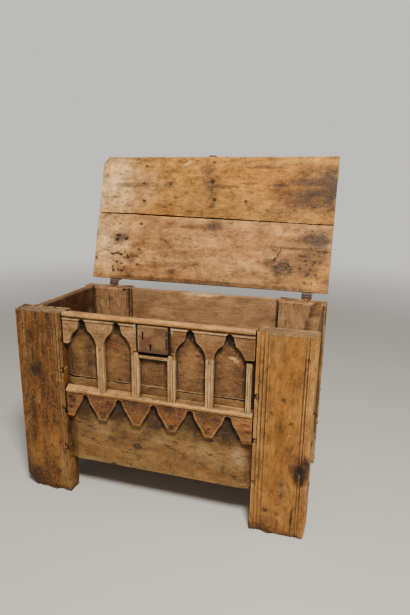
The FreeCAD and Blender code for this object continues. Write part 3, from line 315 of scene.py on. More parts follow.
def oak(name, along, light, middle, dark, marks=(), knots=(), pith=(0, 0, 0), streak=0.35, grime=0.4,
        bloom=0.25, pale="#cf9f62", uneven=0.55, roughness=0.62, shift=0.0):
    """Old oak: long fibres and growth rings along one axis, with pores, smudges and worn arrises.

    marks are stains, cracks, and painted shade and light, knots the places that the grain runs round.
    Each is given as (x, y, z, half width, half depth, half height) in millimetres, then a mark's
    colour, and its strength. pith is where the heart of the tree ran, beside or behind the board,
    and uneven is how far the tone strays from its middle.
    """
    material = bpy.data.materials.new(name)
    tree = new_tree(material)
    place = add(tree, "ShaderNodeTexCoord", {}, {}).outputs["Object"]

    # The fibres of a plank wander by a few millimetres over its length, and run round knots.
    bends = noise(tree, place, 3.2, 2.0)["Color"]
    bent = reckon_vector(tree, "MULTIPLY_ADD", bends, (0.030, 0.030, 0.030), place)
    for knot in knots:
        offset, length = away_from(tree, place, knot, 2.2)
        pull = add(tree, "ShaderNodeMapRange", {"interpolation_type": "SMOOTHERSTEP"}, {
            "Value": length, "From Min": 0.1, "From Max": 1.4, "To Min": -0.75 * knot[6], "To Max": 0.0,
        })
        bent = reckon_vector(tree, "MULTIPLY_ADD", offset, pull.outputs["Result"], bent)

    def grain(width, stretch, detail, fineness=0.58):
        """Noise whose features are width across and stretch times as long along the grain."""
        scale = [1 / width, 1 / width, 1 / width]
        scale["XYZ".index(along)] = 1 / (width * stretch)
        mapped = add(tree, "ShaderNodeMapping", {}, {
            "Vector": bent, "Scale": scale, "Location": (shift, shift * 1.7, shift * 0.6),
        })
        return noise(tree, mapped.outputs["Vector"], 1.0, detail, fineness)["Fac"]

    # Bands 40 mm wide, streaks of 4 mm, pores of 1.4 mm: pores are drawn at four times their size.
    bands = grain(40 * MM, 7, 3.0)
    streaks = grain(4 * MM, 22, 4.0)
    fibres = grain(1.4 * MM, 22, 2.0)
    smudges = grain(16 * MM, 2.4, 6.0)
    tone = grain(44 * MM, 1.6, 12.0, 0.82)
    flecks = grain(3 * MM, 5, 3.0, 0.65)

    # Without grain: patches 90 mm across, specks of 6 mm and a wobble of 20 mm.
    patches = noise(tree, place, 11.0, 5.0, 0.6)["Fac"]
    specks = noise(tree, place, 160.0, 4.0, 0.75)["Fac"]
    wobble = noise(tree, place, 48.0, 4.0)["Fac"]

    # Growth rings 5 mm apart round the pith: arches on a flat-sawn face, arcs on the end grain.
    across = [1.0, 1.0, 1.0]
    across["XYZ".index(along)] = 0.03
    from_pith = reckon_vector(tree, "SUBTRACT", bent, tuple(coordinate * MM for coordinate in pith))
    from_pith = reckon_vector(tree, "MULTIPLY", from_pith, tuple(across))
    from_pith = reckon_vector(tree, "LENGTH", from_pith)
    rings = reckon(tree, "SINE", reckon(tree, "MULTIPLY", from_pith, 2 * math.pi / (5 * MM)))

    colour = laid_over(tree, linear(middle), light, mask(tree, bands, 0.36, 0.66))
    colour = laid_over(tree, colour, dark, mask(tree, rings, 0.1, 1.0, 0.5 * streak))
    colour = laid_over(tree, colour, dark, mask(tree, streaks, 0.56, 0.32, streak))

    # Worn arrises show paler wood.
    corner = mask(tree, flatness(tree, 4.5 * MM), 0.99, 0.86, 1.4, "LINEAR")
    colour = laid_over(tree, colour, pale, reckon(tree, "MULTIPLY", corner, patches))

    # Stains, cracks and painted shade and light, the broad ones under the small, their outlines broken
    # up by a wobble.
    for mark in sorted(marks, key=lambda mark: -mark[3] * mark[5]):
        ragged = reckon(tree, "MULTIPLY_ADD", wobble, 1.3, away_from(tree, place, mark, 1)[1])
        start, end = broad_outline if min(mark[3], mark[5]) > broad_mark else small_outline
        colour = laid_over(tree, colour, mark[6], mask(tree, ragged, start, end, mark[7]))

    colour = laid_over(tree, colour, dark, mask(tree, fibres, 0.44, 0.30, 0.6, "LINEAR"))

    # Age: dark smudges and specks of grime, and dry patches where the surface has bleached.
    colour = laid_over(tree, colour, dark, mask(tree, smudges, 0.50, 0.72, grime))
    fleck_places = reckon(tree, "MULTIPLY_ADD", smudges, 0.7, flecks)
    colour = laid_over(tree, colour, dirt, mask(tree, fleck_places, 0.94, 1.02, 1.3 * grime, "LINEAR"))
    colour = laid_over(tree, colour, dirt, mask(tree, specks, 0.58, 0.66, grime, "LINEAR"))
    colour = laid_over(tree, colour, pale, mask(tree, specks, 0.42, 0.34, 0.9 * grime, "LINEAR"))
    colour = laid_over(tree, colour, pale, mask(tree, patches, 0.50, 0.75, bloom))
    brighter = add(tree, "ShaderNodeMapRange", {}, {
        "Value": tone, "From Min": 0.36, "From Max": 0.64,
        "To Min": 1 - uneven, "To Max": 1 + 0.5 * uneven,
    }).outputs["Result"]
    toned = add(tree, "ShaderNodeHueSaturation", {}, {"Value": brighter, "Color": colour})
    colour = toned.outputs["Color"]

    height = reckon(tree, "MULTIPLY_ADD", streaks, 0.5, fibres)
    height = reckon(tree, "MULTIPLY_ADD", specks, 0.6, height)

    # Knots: a dark ragged eye with rings round it, sunk a little into the face.
    for knot in knots:
        ragged = reckon(tree, "MULTIPLY_ADD", wobble, 0.9, away_from(tree, place, knot, 1)[1])
        circles = reckon(tree, "SINE", reckon(tree, "MULTIPLY", ragged, 15.0))
        circles = mask(tree, circles, -0.2, 1.0, 0.55 * knot[6])
        circles = reckon(tree, "MULTIPLY", circles, mask(tree, ragged, 1.9, 1.1))
        colour = laid_over(tree, colour, dark, circles)
        eye = mask(tree, ragged, 1.25, 0.65, knot[6])
        colour = laid_over(tree, colour, "#2a1a0e", eye)
        height = reckon(tree, "SUBTRACT", height, eye)

    # Creases are darkened by an occlusion node: painted shade, with the dirt that gathers there.
    crease_shade_and_dirt = add(tree, "ShaderNodeAmbientOcclusion", {"samples": 6}, {"Distance": 22 * MM}).outputs["AO"]
    colour = laid_over(tree, colour, "#24160c", mask(tree, crease_shade_and_dirt, 0.85, 0.35, 0.9, "LINEAR"))

    gloss = add(tree, "ShaderNodeMapRange", {}, {
        "Value": patches, "From Min": 0.3, "From Max": 0.7,
        "To Min": roughness - 0.08, "To Max": roughness + 0.14,
    })
    bump = add(tree, "ShaderNodeBump", {}, {"Strength": 0.8, "Distance": 1.6 * MM, "Height": height})
    wood = add(tree, "ShaderNodeBsdfPrincipled", {}, {
        "Base Color": colour, "Roughness": gloss.outputs["Result"], "IOR": 1.45,
        "Specular IOR Level": 0.35, "Normal": bump.outputs["Normal"],
    })
    add(tree, "ShaderNodeOutputMaterial", {}, {"Surface": wood.outputs["BSDF"]})
    return material


def paint(piece, material):
    """Gives a piece one material in place of all it had."""
    piece.data.materials.clear()
    piece.data.materials.append(material)


reed_top = 671


def reed_lines(places, foot, face):
    """Darker lines down the reeds of a stile and paler lines on the ridges beside them, stronger higher
    up.
    """
    lines = []
    for x in places:
        for share, strength in ((1.0, 0.4), (0.6, 0.4)):
            half_z = share * (reed_top - foot) / 2
            middle_z = reed_top - half_z
            lines.append((x, face, middle_z, 1.8, 12, half_z, "#2f1c0d", strength))
            lines.append((x + 4.2, face, middle_z, 1.3, 12, half_z, "#d3a468", 0.6 * strength))
    return tuple(lines)


stile_rows = {2: 24 * MM, 0: 20 * MM}
stile_face = -354.9
# This stile gives the eye a dark, dry orange-brown plank, blackened round its knots and foot.
left_stile = worn_plank("stile_front_left", stile_rows, end_loss=7 * MM)
paint(left_stile, oak(
    "weathered_oak_left_stile", "Z", "#8f5a21", "#754816", "#371f05", pith=(-420, -230, 300),
    marks=(
        (-425, stile_face, 462, 24, 30, 34, "#2c1a0c", 0.8),
        (-398, stile_face, 560, 7, 30, 70, "#3a230f", 0.6),
        (-383, stile_face, 524, 4, 30, 60, "#3a230f", 0.5),
        (-444, stile_face, 577, 18, 30, 40, "#402812", 0.5),
        (-404, stile_face, 402, 9, 30, 40, "#3a230f", 0.5),
        (-463, stile_face, 222, 14, 30, 60, "#3f2711", 0.5),
        (-429, stile_face, 330, 10, 30, 150, "#a8662c", 0.4),
        (-480, stile_face, 40, 60, 60, 50, "#2e1c0d", 0.8),
        (-340, stile_face, 95, 24, 30, 90, "#b3844c", 0.6),
        (-365, stile_face, 610, 26, 30, 60, "#3d2612", 0.55),
        (-494, stile_face, 117, 8, 60, 60, "#33200f", 0.6),
        (-440, stile_face, 515, 5, 30, 30, "#24160b", 0.7),
        (-412, stile_face, 480, 8, 30, 8, "#24160b", 0.7),
        (-436, stile_face, 442, 9, 30, 8, "#24160b", 0.7),
        (-450, stile_face, 300, 9, 30, 60, "#3a230f", 0.5),
        (-420, stile_face, 130, 10, 30, 60, "#472c14", 0.5),
        (-430, stile_face, 360, 60, 30, 110, "#5a300c", 0.5),
        (-400, stile_face, 170, 70, 30, 70, "#a06a2c", 0.55),
        (-410, -322, 671, 140, 40, 16, "#8a7458", 0.8),
    ) + reed_lines((-335, -346, -358), 240, stile_face) + reed_lines((-474,), 520, stile_face),
    knots=((-425, stile_face, 458, 22, 40, 22, 0.9), (-444, stile_face, 577, 14, 40, 20, 0.7)),
    grime=0.6, streak=0.5, bloom=0.15,
))
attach(left_stile, "chest")

# This stile gives the eye a waxed, honey-brown plank with a black split knot low on its right.
right_stile = worn_plank("stile_front_right", stile_rows, end_loss=7 * MM)
paint(right_stile, oak(
    "waxed_oak_right_stile", "Z", "#b77c36", "#9d6626", "#54320f", pith=(420, -210, 200),
    marks=(
        (383, stile_face, 627, 26, 30, 20, "#7a4a22", 0.6),
        (402, stile_face, 596, 16, 30, 14, "#70431e", 0.5),
        (342, stile_face, 577, 9, 30, 9, "#5a3718", 0.5),
        (475, stile_face, 596, 6, 30, 6, "#4a2c14", 0.6),
        (359, stile_face, 459, 7, 30, 9, "#6a4420", 0.4),
        (452, stile_face, 286, 40, 30, 34, "#85532c", 0.6),
        (476, stile_face, 246, 34, 30, 46, "#4a3018", 0.95),
        (484, stile_face, 264, 18, 30, 17, "#1e1209", 0.95),
        (470, stile_face, 232, 4.5, 30, 15, "#e8d2aa", 0.9),
        (460, stile_face, 226, 5, 30, 26, "#120a05", 1.0),
        (479, stile_face, 216, 5, 30, 26, "#120a05", 1.0),
        (468, stile_face, 250, 12, 30, 6, "#120a05", 0.95),
        (480, stile_face, 160, 18, 30, 60, "#8a5a2c", 0.5),
        (453, stile_face, 66, 2.6, 30, 50, "#1e1108", 0.9),
        (420, stile_face, 165, 20, 30, 50, "#86602f", 0.6),
        (360, stile_face, 60, 40, 30, 50, "#9a6a32", 0.5),
        (350, stile_face, 20, 50, 40, 14, "#5f3a1e", 0.7),
        (330, stile_face, 300, 12, 30, 200, "#c48e50", 0.4),
        (494, stile_face, 400, 12, 30, 300, "#d09c5c", 0.5),
        (410, -320, 671, 140, 40, 16, "#6a5a46", 0.9),
        (373, stile_face, 85, 9, 30, 8, "#4f3016", 0.6),
        (408, stile_face, 79, 7, 30, 9, "#4f3016", 0.6),
        (330, stile_face, 12, 22, 40, 16, "#6e4226", 0.8),
        (500, -325, 340, 8, 70, 360, "#d8993f", 0.6),
    ) + reed_lines((335, 346, 358), 60, stile_face) + reed_lines((466, 474), 20, stile_face),
    knots=(
        (411, stile_face, 465, 15, 40, 15, 0.8),
        (436, stile_face, 392, 11, 40, 9, 0.75),
        (473, stile_face, 240, 24, 40, 34, 1.0),
        (418, stile_face, 181, 12, 40, 16, 0.55),
        (420, stile_face, 143, 12, 40, 16, 0.5),
        (373, stile_face, 85, 9, 40, 8, 0.7),
    ),
    grime=0.35, streak=0.3, shift=3.7,
))
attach(right_stile, "chest")

# ---------------------------------------------------------------- back stiles
# The same planks behind, the left one broader and reeded inside the chest. Their tops are worn
# down towards the inside, and have dried grey and rough.
# The back stiles give the eye dry brown wood that has greyed inside the open chest.
for node, x, shift in (("stile_back_left", -400, 7.1), ("stile_back_right", 410, 9.4)):
    stile = worn_plank(node, {2: 28 * MM, 0: 24 * MM}, end_loss=5 * MM)
    paint(stile, oak(
        "dry_oak_" + node, "Z", "#b28658", "#946740", "#4f3017", pith=(x, 220, 300),
        grime=0.45, roughness=0.72, shift=shift,
    ))
    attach(stile, "chest")

# ---------------------------------------------------------------- front boards
# Two wide boards tongued into the stiles with the grain level, seen through the arches and below
# the pendants. Painted shadow makes them darkest in the tips of the arches.
board_face = -334.9
# Painted shadow of the arcade on the board: black in the arch tips, and down the sides of each niche.
arch_tip_shadows = tuple(
    (x + along, board_face, z, half_x, 30, half_z, colour, strength)
    for x in (-257, -133, 116, 240)
    for along, z, half_x, half_z, colour, strength in (
        (1, 634, 14, 28, "#0e0704", 1.0),
        (14, 610, 10, 12, "#150b05", 0.95),
        (25, 597, 10, 9, "#1f1208", 0.9),
        (36, 584, 9, 12, "#2a190c", 0.85),
        (45, 566, 7, 20, "#2c1a0c", 0.8),
        (47, 490, 6, 100, "#2c1a0c", 0.75),
        (-32, 588, 10, 8, "#3a2412", 0.6),
        (-47, 500, 6, 90, "#3a2412", 0.6),
        (-4, 600, 30, 16, "#5a2f17", 0.45),
    )
)
front_seam_height = 438
front_seam_slope = 0.0094
seam_lines = tuple(
    (x, board_face, front_seam_height - front_seam_slope * x + rise, 34, 30, half, colour, strength)
    for x in range(-300, 301, 60)
    for rise, half, colour, strength in ((0, 2.4, "#160d06", 0.95), (4.2, 1.6, "#c09a6a", 0.6))
)
# This board gives the eye brown wood with painted shadow that goes black in the tips of the arches.
upper_board = worn_plank("front_board_upper", {0: 30 * MM, 2: 24 * MM}, loss=3 * MM)
paint(upper_board, oak(
    "sawn_oak_front_board_upper", "X", "#7c5534", "#664423", "#352010", pith=(0, -240, 500), streak=0.15,
    marks=arch_tip_shadows + seam_lines + (
        (-257, board_face, 530, 44, 30, 110, "#472a12", 0.55),
        (-262, board_face, 545, 20, 30, 46, "#a07a40", 0.3),
        (-133, board_face, 500, 24, 30, 70, "#a07030", 0.4),
        (116, board_face, 530, 34, 30, 80, "#a87a44", 0.5),
        (238, board_face, 520, 26, 30, 60, "#a07440", 0.3),
        (248, board_face, 570, 13, 30, 5, "#e0ab64", 0.8),
        (262, board_face, 561, 9, 30, 5, "#d8a25c", 0.6),
        (115, board_face, 542, 24, 30, 20, "#b3733a", 0.25),
        (-275, board_face, 518, 20, 30, 60, "#b08042", 0.3),
        (-151, board_face, 440, 1.5, 30, 30, "#241408", 0.8),
        (-151, board_face, 568, 30, 30, 24, "#6a3518", 0.5),
        # Painted shade under the rail and beside the colonnettes by the lock.
        (-3, board_face, 536, 44, 30, 12, "#2c190b", 0.75),
        (36, board_face, 480, 9, 30, 70, "#2c1a0c", 0.8),
        (-55, board_face, 480, 6, 30, 70, "#3a2412", 0.6),
    ),
    grime=0.45, roughness=0.66, shift=11.3,
))
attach(upper_board, "chest")

# This board gives the eye dull yellow-brown oak, with painted shadow between the pendants and at its
# ends.
lower_board = worn_plank("front_board_lower", {0: 30 * MM, 2: 24 * MM}, loss=5 * MM)
# Painted shadow of the pendants on the board, and a plain darker band along its top.
pendant_gap_shadows = tuple(
    (x + along, board_face, z, half_x, 30, half_z, colour, strength)
    for x in (-257, -133, -10, 115, 239)
    for along, z, half_x, half_z, colour, strength in (
        (0, 334, 54, 64, "#33200f", 0.9),
        (2, 374, 14, 16, "#0c0603", 1.0),
        (14, 354, 11, 15, "#130a05", 0.95),
        (25, 334, 11, 14, "#1d1008", 0.85),
        (38, 316, 11, 13, "#2a190c", 0.75),
        (64, 306, 30, 8, "#2a190c", 0.65),
    )
) + ((0, board_face, 424, 330, 30, 13, "#70492a", 0.5),)
paint(lower_board, oak(
    "sawn_oak_front_board_lower", "X", "#95703e", "#7f5a2e", "#46301b", pith=(0, -250, 150),
    marks=pendant_gap_shadows + seam_lines + (
        (-71, board_face, 218, 16, 30, 12, "#2f2014", 0.75),
        (-97, board_face, 199, 8, 30, 4, "#2f2014", 0.6),
        (65, board_face, 210, 1.3, 30, 34, "#2a1b10", 0.7),
        (-159, board_face, 134, 12, 30, 6, "#241608", 0.8),
        (-208, board_face, 255, 40, 30, 20, "#a88a5e", 0.5),
        (12, board_face, 256, 46, 30, 18, "#a3855a", 0.4),
        (168, board_face, 229, 50, 30, 22, "#a3855a", 0.4),
        (276, board_face, 240, 22, 30, 34, "#b79a72", 0.6),
        (-200, board_face, 160, 110, 30, 22, "#93652f", 0.45),
        (150, board_face, 155, 120, 30, 22, "#93652f", 0.45),
        # Painted shade down both ends, beside the stiles.
        (-306, board_face, 250, 12, 40, 130, "#6b3f20", 0.6),
        (306, board_face, 250, 12, 40, 130, "#6b3f20", 0.6),
    ),
    grime=0.5, streak=0.12, uneven=0.4, roughness=0.7, pale="#b08c56", shift=13.8,
))
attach(lower_board, "chest")

# ---------------------------------------------------------------- back and end boards
# The same riven boards behind and at the ends, dry and pale on top where dust has lain, and
# worn hollow along their upper edges.
# The back boards give the eye flat, dusty light brown with a pale hollow at the top.
back_paints = {
    "back_board_upper": ("#bb8c5d", "#a1754b", 15.2),
    "back_board_lower": ("#a87b49", "#8a6235", 17.9),
}
for node, (light, middle, shift) in back_paints.items():
    board = worn_plank(node, {0: 30 * MM, 2: 24 * MM}, loss=4 * MM)
    paint(board, oak(
        "sawn_oak_" + node, "X", light, middle, "#4f341b", pith=(0, 240, 480),
        marks=(
            (8, 111, 652, 80, 30, 8, "#d2a874", 0.7),
            (-306, 111, 600, 9, 30, 80, "#c4a27a", 0.6),
            (-250, 111, 560, 40, 30, 50, "#5d3f22", 0.4),
        ),
        grime=0.28, roughness=0.72, uneven=0.38, shift=shift,
    ))
    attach(board, "chest")
# The end boards give the eye dim brown, with painted shade, deep orange-brown, on the faces inside the
# chest.
for node, x, inside, shift in (
    ("end_board_left_upper", -467, -446, 19.1), ("end_board_left_lower", -467, -446, 21.5),
    ("end_board_right_upper", 467, 446, 23.2), ("end_board_right_lower", 467, 446, 25.9),
):
    board = worn_plank(node, {1: 30 * MM, 2: 24 * MM}, loss=6 * MM)
    paint(board, oak(
        "sawn_oak_" + node, "Y", "#93693c", "#77522c", "#3c2512", pith=(x * 0.8, -100, 420),
        marks=(
            (x, -100, 660, 30, 230, 4, "#a08c70", 0.4),
            # Painted shade over the face inside the chest.
            (inside, -100, 540, 20, 500, 300, "#3a1b05", 0.96),
        ),
        grime=0.32, roughness=0.74, shift=shift,
    ))
    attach(board, "chest")

# ---------------------------------------------------------------- bottom boards
# Five thin boards laid from front to back in a groove, rough from the saw and dusty.
# The bottom gives the eye plain, dusty boards in the shade of the chest.
bottom_oak = oak(
    "rough_oak_bottom", "Y", "#96734d", "#7d5c3a", "#493321", pith=(0, 0, 60),
    grime=0.6, roughness=0.8, shift=28.0,
)
for number in range(1, 6):
    board = worn_plank(f"bottom_board_{number}", {1: 60 * MM, 0: 60 * MM}, loss=2 * MM)
    paint(board, bottom_oak)
    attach(board, "chest")

# ---------------------------------------------------------------- pegs
# Riven oak pegs driven through the joints, end grain outwards, dark with dirt and wax.
# The pegs give the eye small dark dots of end grain.
peg_oak = oak(
    "end_grain_oak_pegs", "Y", "#7d5530", "#684421", "#33200f",
    grime=0.5, roughness=0.6, shift=31.0,
)
for node in ("front_pegs", "back_pegs", "end_pegs_left", "end_pegs_right", "lid_dowels"):
    paint(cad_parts[node], peg_oak)


# ---------------------------------------------------------------- applied front
# Mouldings, arcade and pendants cut from thin oak and nailed on: a bead under the rim, two
# arcade heads, reeded colonnettes, a rail, a sloping sill and a frieze of hanging points.
def softened(node, rounding, depth, rows=None):
    """A carved CAD piece with its front corners rubbed round and its faces a little uneven."""
    piece = copy_of(node)
    for axis, spacing in (rows or {}).items():
        cut_rows(piece, axis, spacing, 2 * MM)
    bpy.ops.object.mode_set(mode="EDIT")
    mesh = bmesh.from_edit_mesh(piece.data)
    back = max(vertex.co.y for vertex in mesh.verts) - 1 * MM
    for edge in mesh.edges:
        sharp = len(edge.link_faces) == 2 and edge.calc_face_angle_signed() > math.radians(40)
        edge.select_set(sharp and max(vertex.co.y for vertex in edge.verts) < back)
    bmesh.update_edit_mesh(piece.data)
    bpy.ops.mesh.bevel(offset=rounding, segments=2, affect="EDGES", clamp_overlap=True)
    bpy.ops.object.mode_set(mode="OBJECT")
    weather(piece, "", depth, 34 * MM)
    finish_shading(piece, 35)
    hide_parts(node)
    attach(piece, "chest")
    return piece


ornament_face = -350.9
# The bead gives the eye a pale line along the rim, rubbed bright by hands.
bead = softened("bead_moulding", 0.8 * MM, 1.2 * MM, {0: 22 * MM})
paint(bead, oak(
    "rubbed_oak_bead", "X", "#e7b070", "#c2894a", "#6d441e", pith=(0, -300, 600),
    grime=0.35, roughness=0.6, shift=33.0,
))
heads = {
    "arcade_head_left": ("#af8557", "#976b41", "#5b3e26", 35.0),
    "arcade_head_right": ("#9a7047", "#835931", "#4e3017", 37.0),
}
# The heads give the eye soft brown carving, the left one lighter, with painted shade under the bead and
# painted shadow beside the lock.
for node, (light, middle, dark, shift) in heads.items():
    paint(softened(node, 1.1 * MM, 0.8 * MM), oak(
        "carved_oak_" + node, "X", light, middle, dark, pith=(0, -290, 560), grime=0.35,
        marks=(
            (-58, ornament_face, 644, 8, 12, 11, "#c3b196", 0.6),
            (58, ornament_face, 642, 10, 12, 14, "#b8a488", 0.6),
            # Painted shadow in the gap right of the lock plate.
            (55, ornament_face, 604, 7, 12, 50, "#22140a", 0.85),
            (68, ornament_face, 606, 12, 12, 26, "#5a3a22", 0.6),
            (64, ornament_face, 578, 8, 12, 10, "#3a2414", 0.7),
            (-292, ornament_face, 612, 7, 12, 6, "#5a3c28", 0.6),
            (-304, ornament_face, 628, 5, 12, 5, "#5a3c28", 0.5),
            # Under the bead: a dark line of painted shade, a pale line along the fillet, and another
            # line of painted shade below it.
            (0, ornament_face, 651, 600, 12, 2.2, "#33200f", 0.85),
            (0, ornament_face, 646, 600, 12, 2.4, "#d8b082", 0.55),
            (0, ornament_face, 640.5, 600, 12, 1.8, "#4a3018", 0.7),
        ),
        roughness=0.68, shift=shift,
    ))
# The colonnettes give the eye straw-coloured uprights, each with two dark reeds.
for number, middle_x in enumerate((-187.5, -64.5, 58.5, 181.5, 304.5), 1):
    node = f"colonnette_{number}"
    wear = tuple((middle_x + side, ornament_face, 470, 1.3, 5, 400, "#5f4629", 0.5) for side in (-4, 4))
    if number in (1, 4):
        wear += ((middle_x, ornament_face, 554, 4.5, 5, 4.5, "#5d4430", 0.75),)
    if number in (2, 3):
        wear += ((-51 if middle_x < 0 else 49, ornament_face, 562, 7, 8, 8, "#c9b38e", 0.6),)
    paint(softened(node, 0.9 * MM, 0.8 * MM, {2: 20 * MM}), oak(
        "carved_oak_" + node, "Z", "#d9b175", "#b98e59", "#765836", pith=(0, -290, 480),
        marks=wear, grime=0.35, roughness=0.68, shift=45.0 + number * 2.3,
    ))
# The rail gives the eye a small pale bar under the lock.
paint(softened("rail_under_lock", 1 * MM, 0.6 * MM, {0: 14 * MM}), oak(
    "carved_oak_rail", "X", "#d0a56d", "#b18651", "#6f5234",
    grime=0.35, roughness=0.68, shift=39.0,
))
sill_slope = -343
sill_lip = -354.4
# The sill gives the eye a golden shelf with a bright lip, painted shade under the lip, and a slope
# darker at the right with painted highlights at the left.
paint(softened("sill_moulding", 1.6 * MM, 1.2 * MM, {0: 22 * MM}), oak(
    "rubbed_oak_sill", "X", "#d29e55", "#b17b3b", "#70471b", pith=(0, -300, 380), grime=0.35,
    marks=(
        # The slope is darker at the right; the two pale marks at the left are painted highlights.
        (140, sill_slope, 407, 210, 9.5, 6, "#664a2a", 0.9),
        (-250, sill_slope, 407, 54, 9, 6, "#cfa066", 0.7),
        (-130, sill_slope, 407, 40, 9, 6, "#c4945a", 0.6),
        # A pale line along the top of the lip, and painted shade along its foot.
        (0, sill_lip, 400.5, 600, 2.5, 1.8, "#dcb78a", 0.7),
        (0, sill_lip, 390, 600, 4, 2.4, "#40270f", 0.8),
    ),
    roughness=0.66, shift=41.0,
))
pendant_face = -348.4
# The pendants give the eye reddish-brown points with a dark sunk field, rubbed rims, and chip carving
# painted as spots of shade and light.
frieze = softened("pendant_frieze", 1.6 * MM, 0.8 * MM)
carved_fields = ((0, pendant_face, 345, 420, 1.3, 90, "#714828", 0.85),)
# Chip carving that the pendants lack in shape, painted as random spots of shade and light.
chips = random.Random(4)
chip_shade_and_light = (("#331708", 0.8), ("#a8632b", 0.5), ("#331708", 0.75), ("#b07a3c", 0.5))
for middle_x in (-187.5, -64.5, 58.5, 181.5):
    carved_fields += (
        (middle_x + 2, pendant_face, 332, 17, 3, 22, "#94581f", 0.45),
        (middle_x - 14, pendant_face, 375, 24, 3, 9, "#54351f", 0.75),
        (middle_x + 26, pendant_face, 370, 14, 3, 10, "#5e2a12", 0.6),
    )
    for colour, strength in chip_shade_and_light * 3:
        fall = chips.uniform(14, 72)
        reach = 34 - 0.4 * fall
        carved_fields += ((
            middle_x + chips.uniform(-reach, reach), pendant_face, 390 - fall,
            chips.uniform(2.5, 6), 3, chips.uniform(2, 4.5), colour, strength,
        ),)
paint(frieze, oak(
    "carved_oak_pendants", "X", "#b07c48", "#906031", "#44250f", pith=(0, -290, 340),
    streak=0.4, grime=0.45,
    marks=carved_fields + (
        (58, pendant_face, 316, 9, 4, 9, "#2c1420", 0.85),
        # The half pendants at both ends: scroll carving painted as dark marks of shade and pale marks of
        # light.
        (-300, ornament_face, 356, 18, 8, 30, "#6c3416", 0.9),
        (-304, ornament_face, 372, 9, 8, 6, "#2c1408", 0.85),
        (-292, ornament_face, 362, 5, 8, 9, "#2c1408", 0.7),
        (-302, ornament_face, 348, 7, 8, 3.5, "#a8703c", 0.6),
        (-304, ornament_face, 334, 8, 8, 5, "#2c1408", 0.8),
        (300, ornament_face, 352, 20, 8, 30, "#7c421c", 0.85),
        (298, ornament_face, 372, 12, 8, 2.4, "#b87c44", 0.6),
        (304, ornament_face, 362, 12, 8, 3, "#3c1c0c", 0.75),
        (302, ornament_face, 352, 11, 8, 2.4, "#b87c44", 0.6),
        (306, ornament_face, 342, 10, 8, 3, "#3c1c0c", 0.7),
        (304, ornament_face, 332, 8, 8, 2.4, "#b87c44", 0.5),
    ),
    roughness=0.6, pale="#c18c52", bloom=0.2, shift=43.0,
))


# ---------------------------------------------------------------- ironwork
# Lock, nails, hinges and hasp, all forged and hammered wrought iron, brown with old rust.
def wrought_iron(name, skin, rust, bare, shift=0.0, marks=()):
    """Forged iron: a brown skin of scale and old wax, with rust, marks and rubbed bright places."""
    material = bpy.data.materials.new(name)
    tree = new_tree(material)
    place = add(tree, "ShaderNodeTexCoord", {}, {}).outputs["Object"]
    mapped = add(tree, "ShaderNodeMapping", {}, {"Vector": place, "Location": (shift, 0, 0)})
    # Hammer dents 14 mm across and rust pits of 3 mm.
    dents = noise(tree, mapped.outputs["Vector"], 70.0, 3.0)["Fac"]
    pits = noise(tree, mapped.outputs["Vector"], 320.0, 4.0, 0.7)["Fac"]
    colour = laid_over(tree, linear(skin), rust, mask(tree, dents, 0.42, 0.62))
    colour = laid_over(tree, colour, "#22160f", mask(tree, pits, 0.55, 0.68, 0.7, "LINEAR"))
    for mark in marks:
        length = away_from(tree, place, mark, 1)[1]
        colour = laid_over(tree, colour, mark[6], mask(tree, length, 1.15, 0.6, mark[7]))
    rubbed = mask(tree, flatness(tree, 2.5 * MM), 0.99, 0.88, 0.8, "LINEAR")
    colour = laid_over(tree, colour, bare, rubbed)
    metal = add(tree, "ShaderNodeMapRange", {}, {
        "Value": rubbed, "From Max": 0.6, "To Min": 0.1, "To Max": 0.3,
    }).outputs["Result"]
    height = reckon(tree, "MULTIPLY_ADD", pits, 0.35, dents)
    bump = add(tree, "ShaderNodeBump", {}, {"Strength": 0.6, "Distance": 1.2 * MM, "Height": height})
    iron = add(tree, "ShaderNodeBsdfPrincipled", {}, {
        "Base Color": colour, "Metallic": metal, "Roughness": 0.52, "Normal": bump.outputs["Normal"],
    })
    add(tree, "ShaderNodeOutputMaterial", {}, {"Surface": iron.outputs["BSDF"]})
    return material


lock_face = -353
# The lock gives the eye a warm brown plate with lighter rims, a keyhole painted black as its shade, and
# painted shadow in the gap at its right.
lock_iron = wrought_iron(
    "brown_wrought_iron_lock", "#6e4a2a", "#613d20", "#92724c",
    marks=(
        # The keyhole, painted black over the plate round it: painted shade.
        (-9, lock_face, 587.5, 7.5, 12, 7, "#0a0503", 1.0),
        (-9, lock_face, 575, 4.2, 12, 14, "#0a0503", 1.0),
        (-26, lock_face, 632, 34, 12, 18, "#97744c", 0.5),
        (20, lock_face, 600, 26, 12, 24, "#8f6a42", 0.4),
        (0, lock_face, 568, 60, 12, 9, "#4a2f1a", 0.6),
        # Painted shadow in the gap right of the plate.
        (47, lock_face, 606, 6, 12, 60, "#1c1007", 0.95),
        (30, lock_face, 640, 20, 12, 8, "#5a3a22", 0.6),
        (-30, lock_face, 590, 12, 12, 18, "#563620", 0.5),
        (-49, lock_face, 606, 2.2, 12, 50, "#b0905f", 0.5),
        (0, lock_face, 648, 60, 12, 2.4, "#b0905f", 0.5),
    ),
)
lock_plate = softened("lock_plate", 3 * MM, 0.5 * MM)
paint(lock_plate, lock_iron)
paint(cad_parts["lock_nails"], lock_iron)
paint(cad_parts["ornament_nails"], lock_iron)
# The clenched nails give the eye near-black dots, and the pin in the keyhole is painted as black as the
# shade round it.
black_iron = wrought_iron("blackened_iron_nails", "#2c231d", "#3e2618", "#443830", 0.9)
for node in ("hinge_strap_nails", "hasp_strap_nails", "key_pin"):
    paint(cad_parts[node], black_iron)
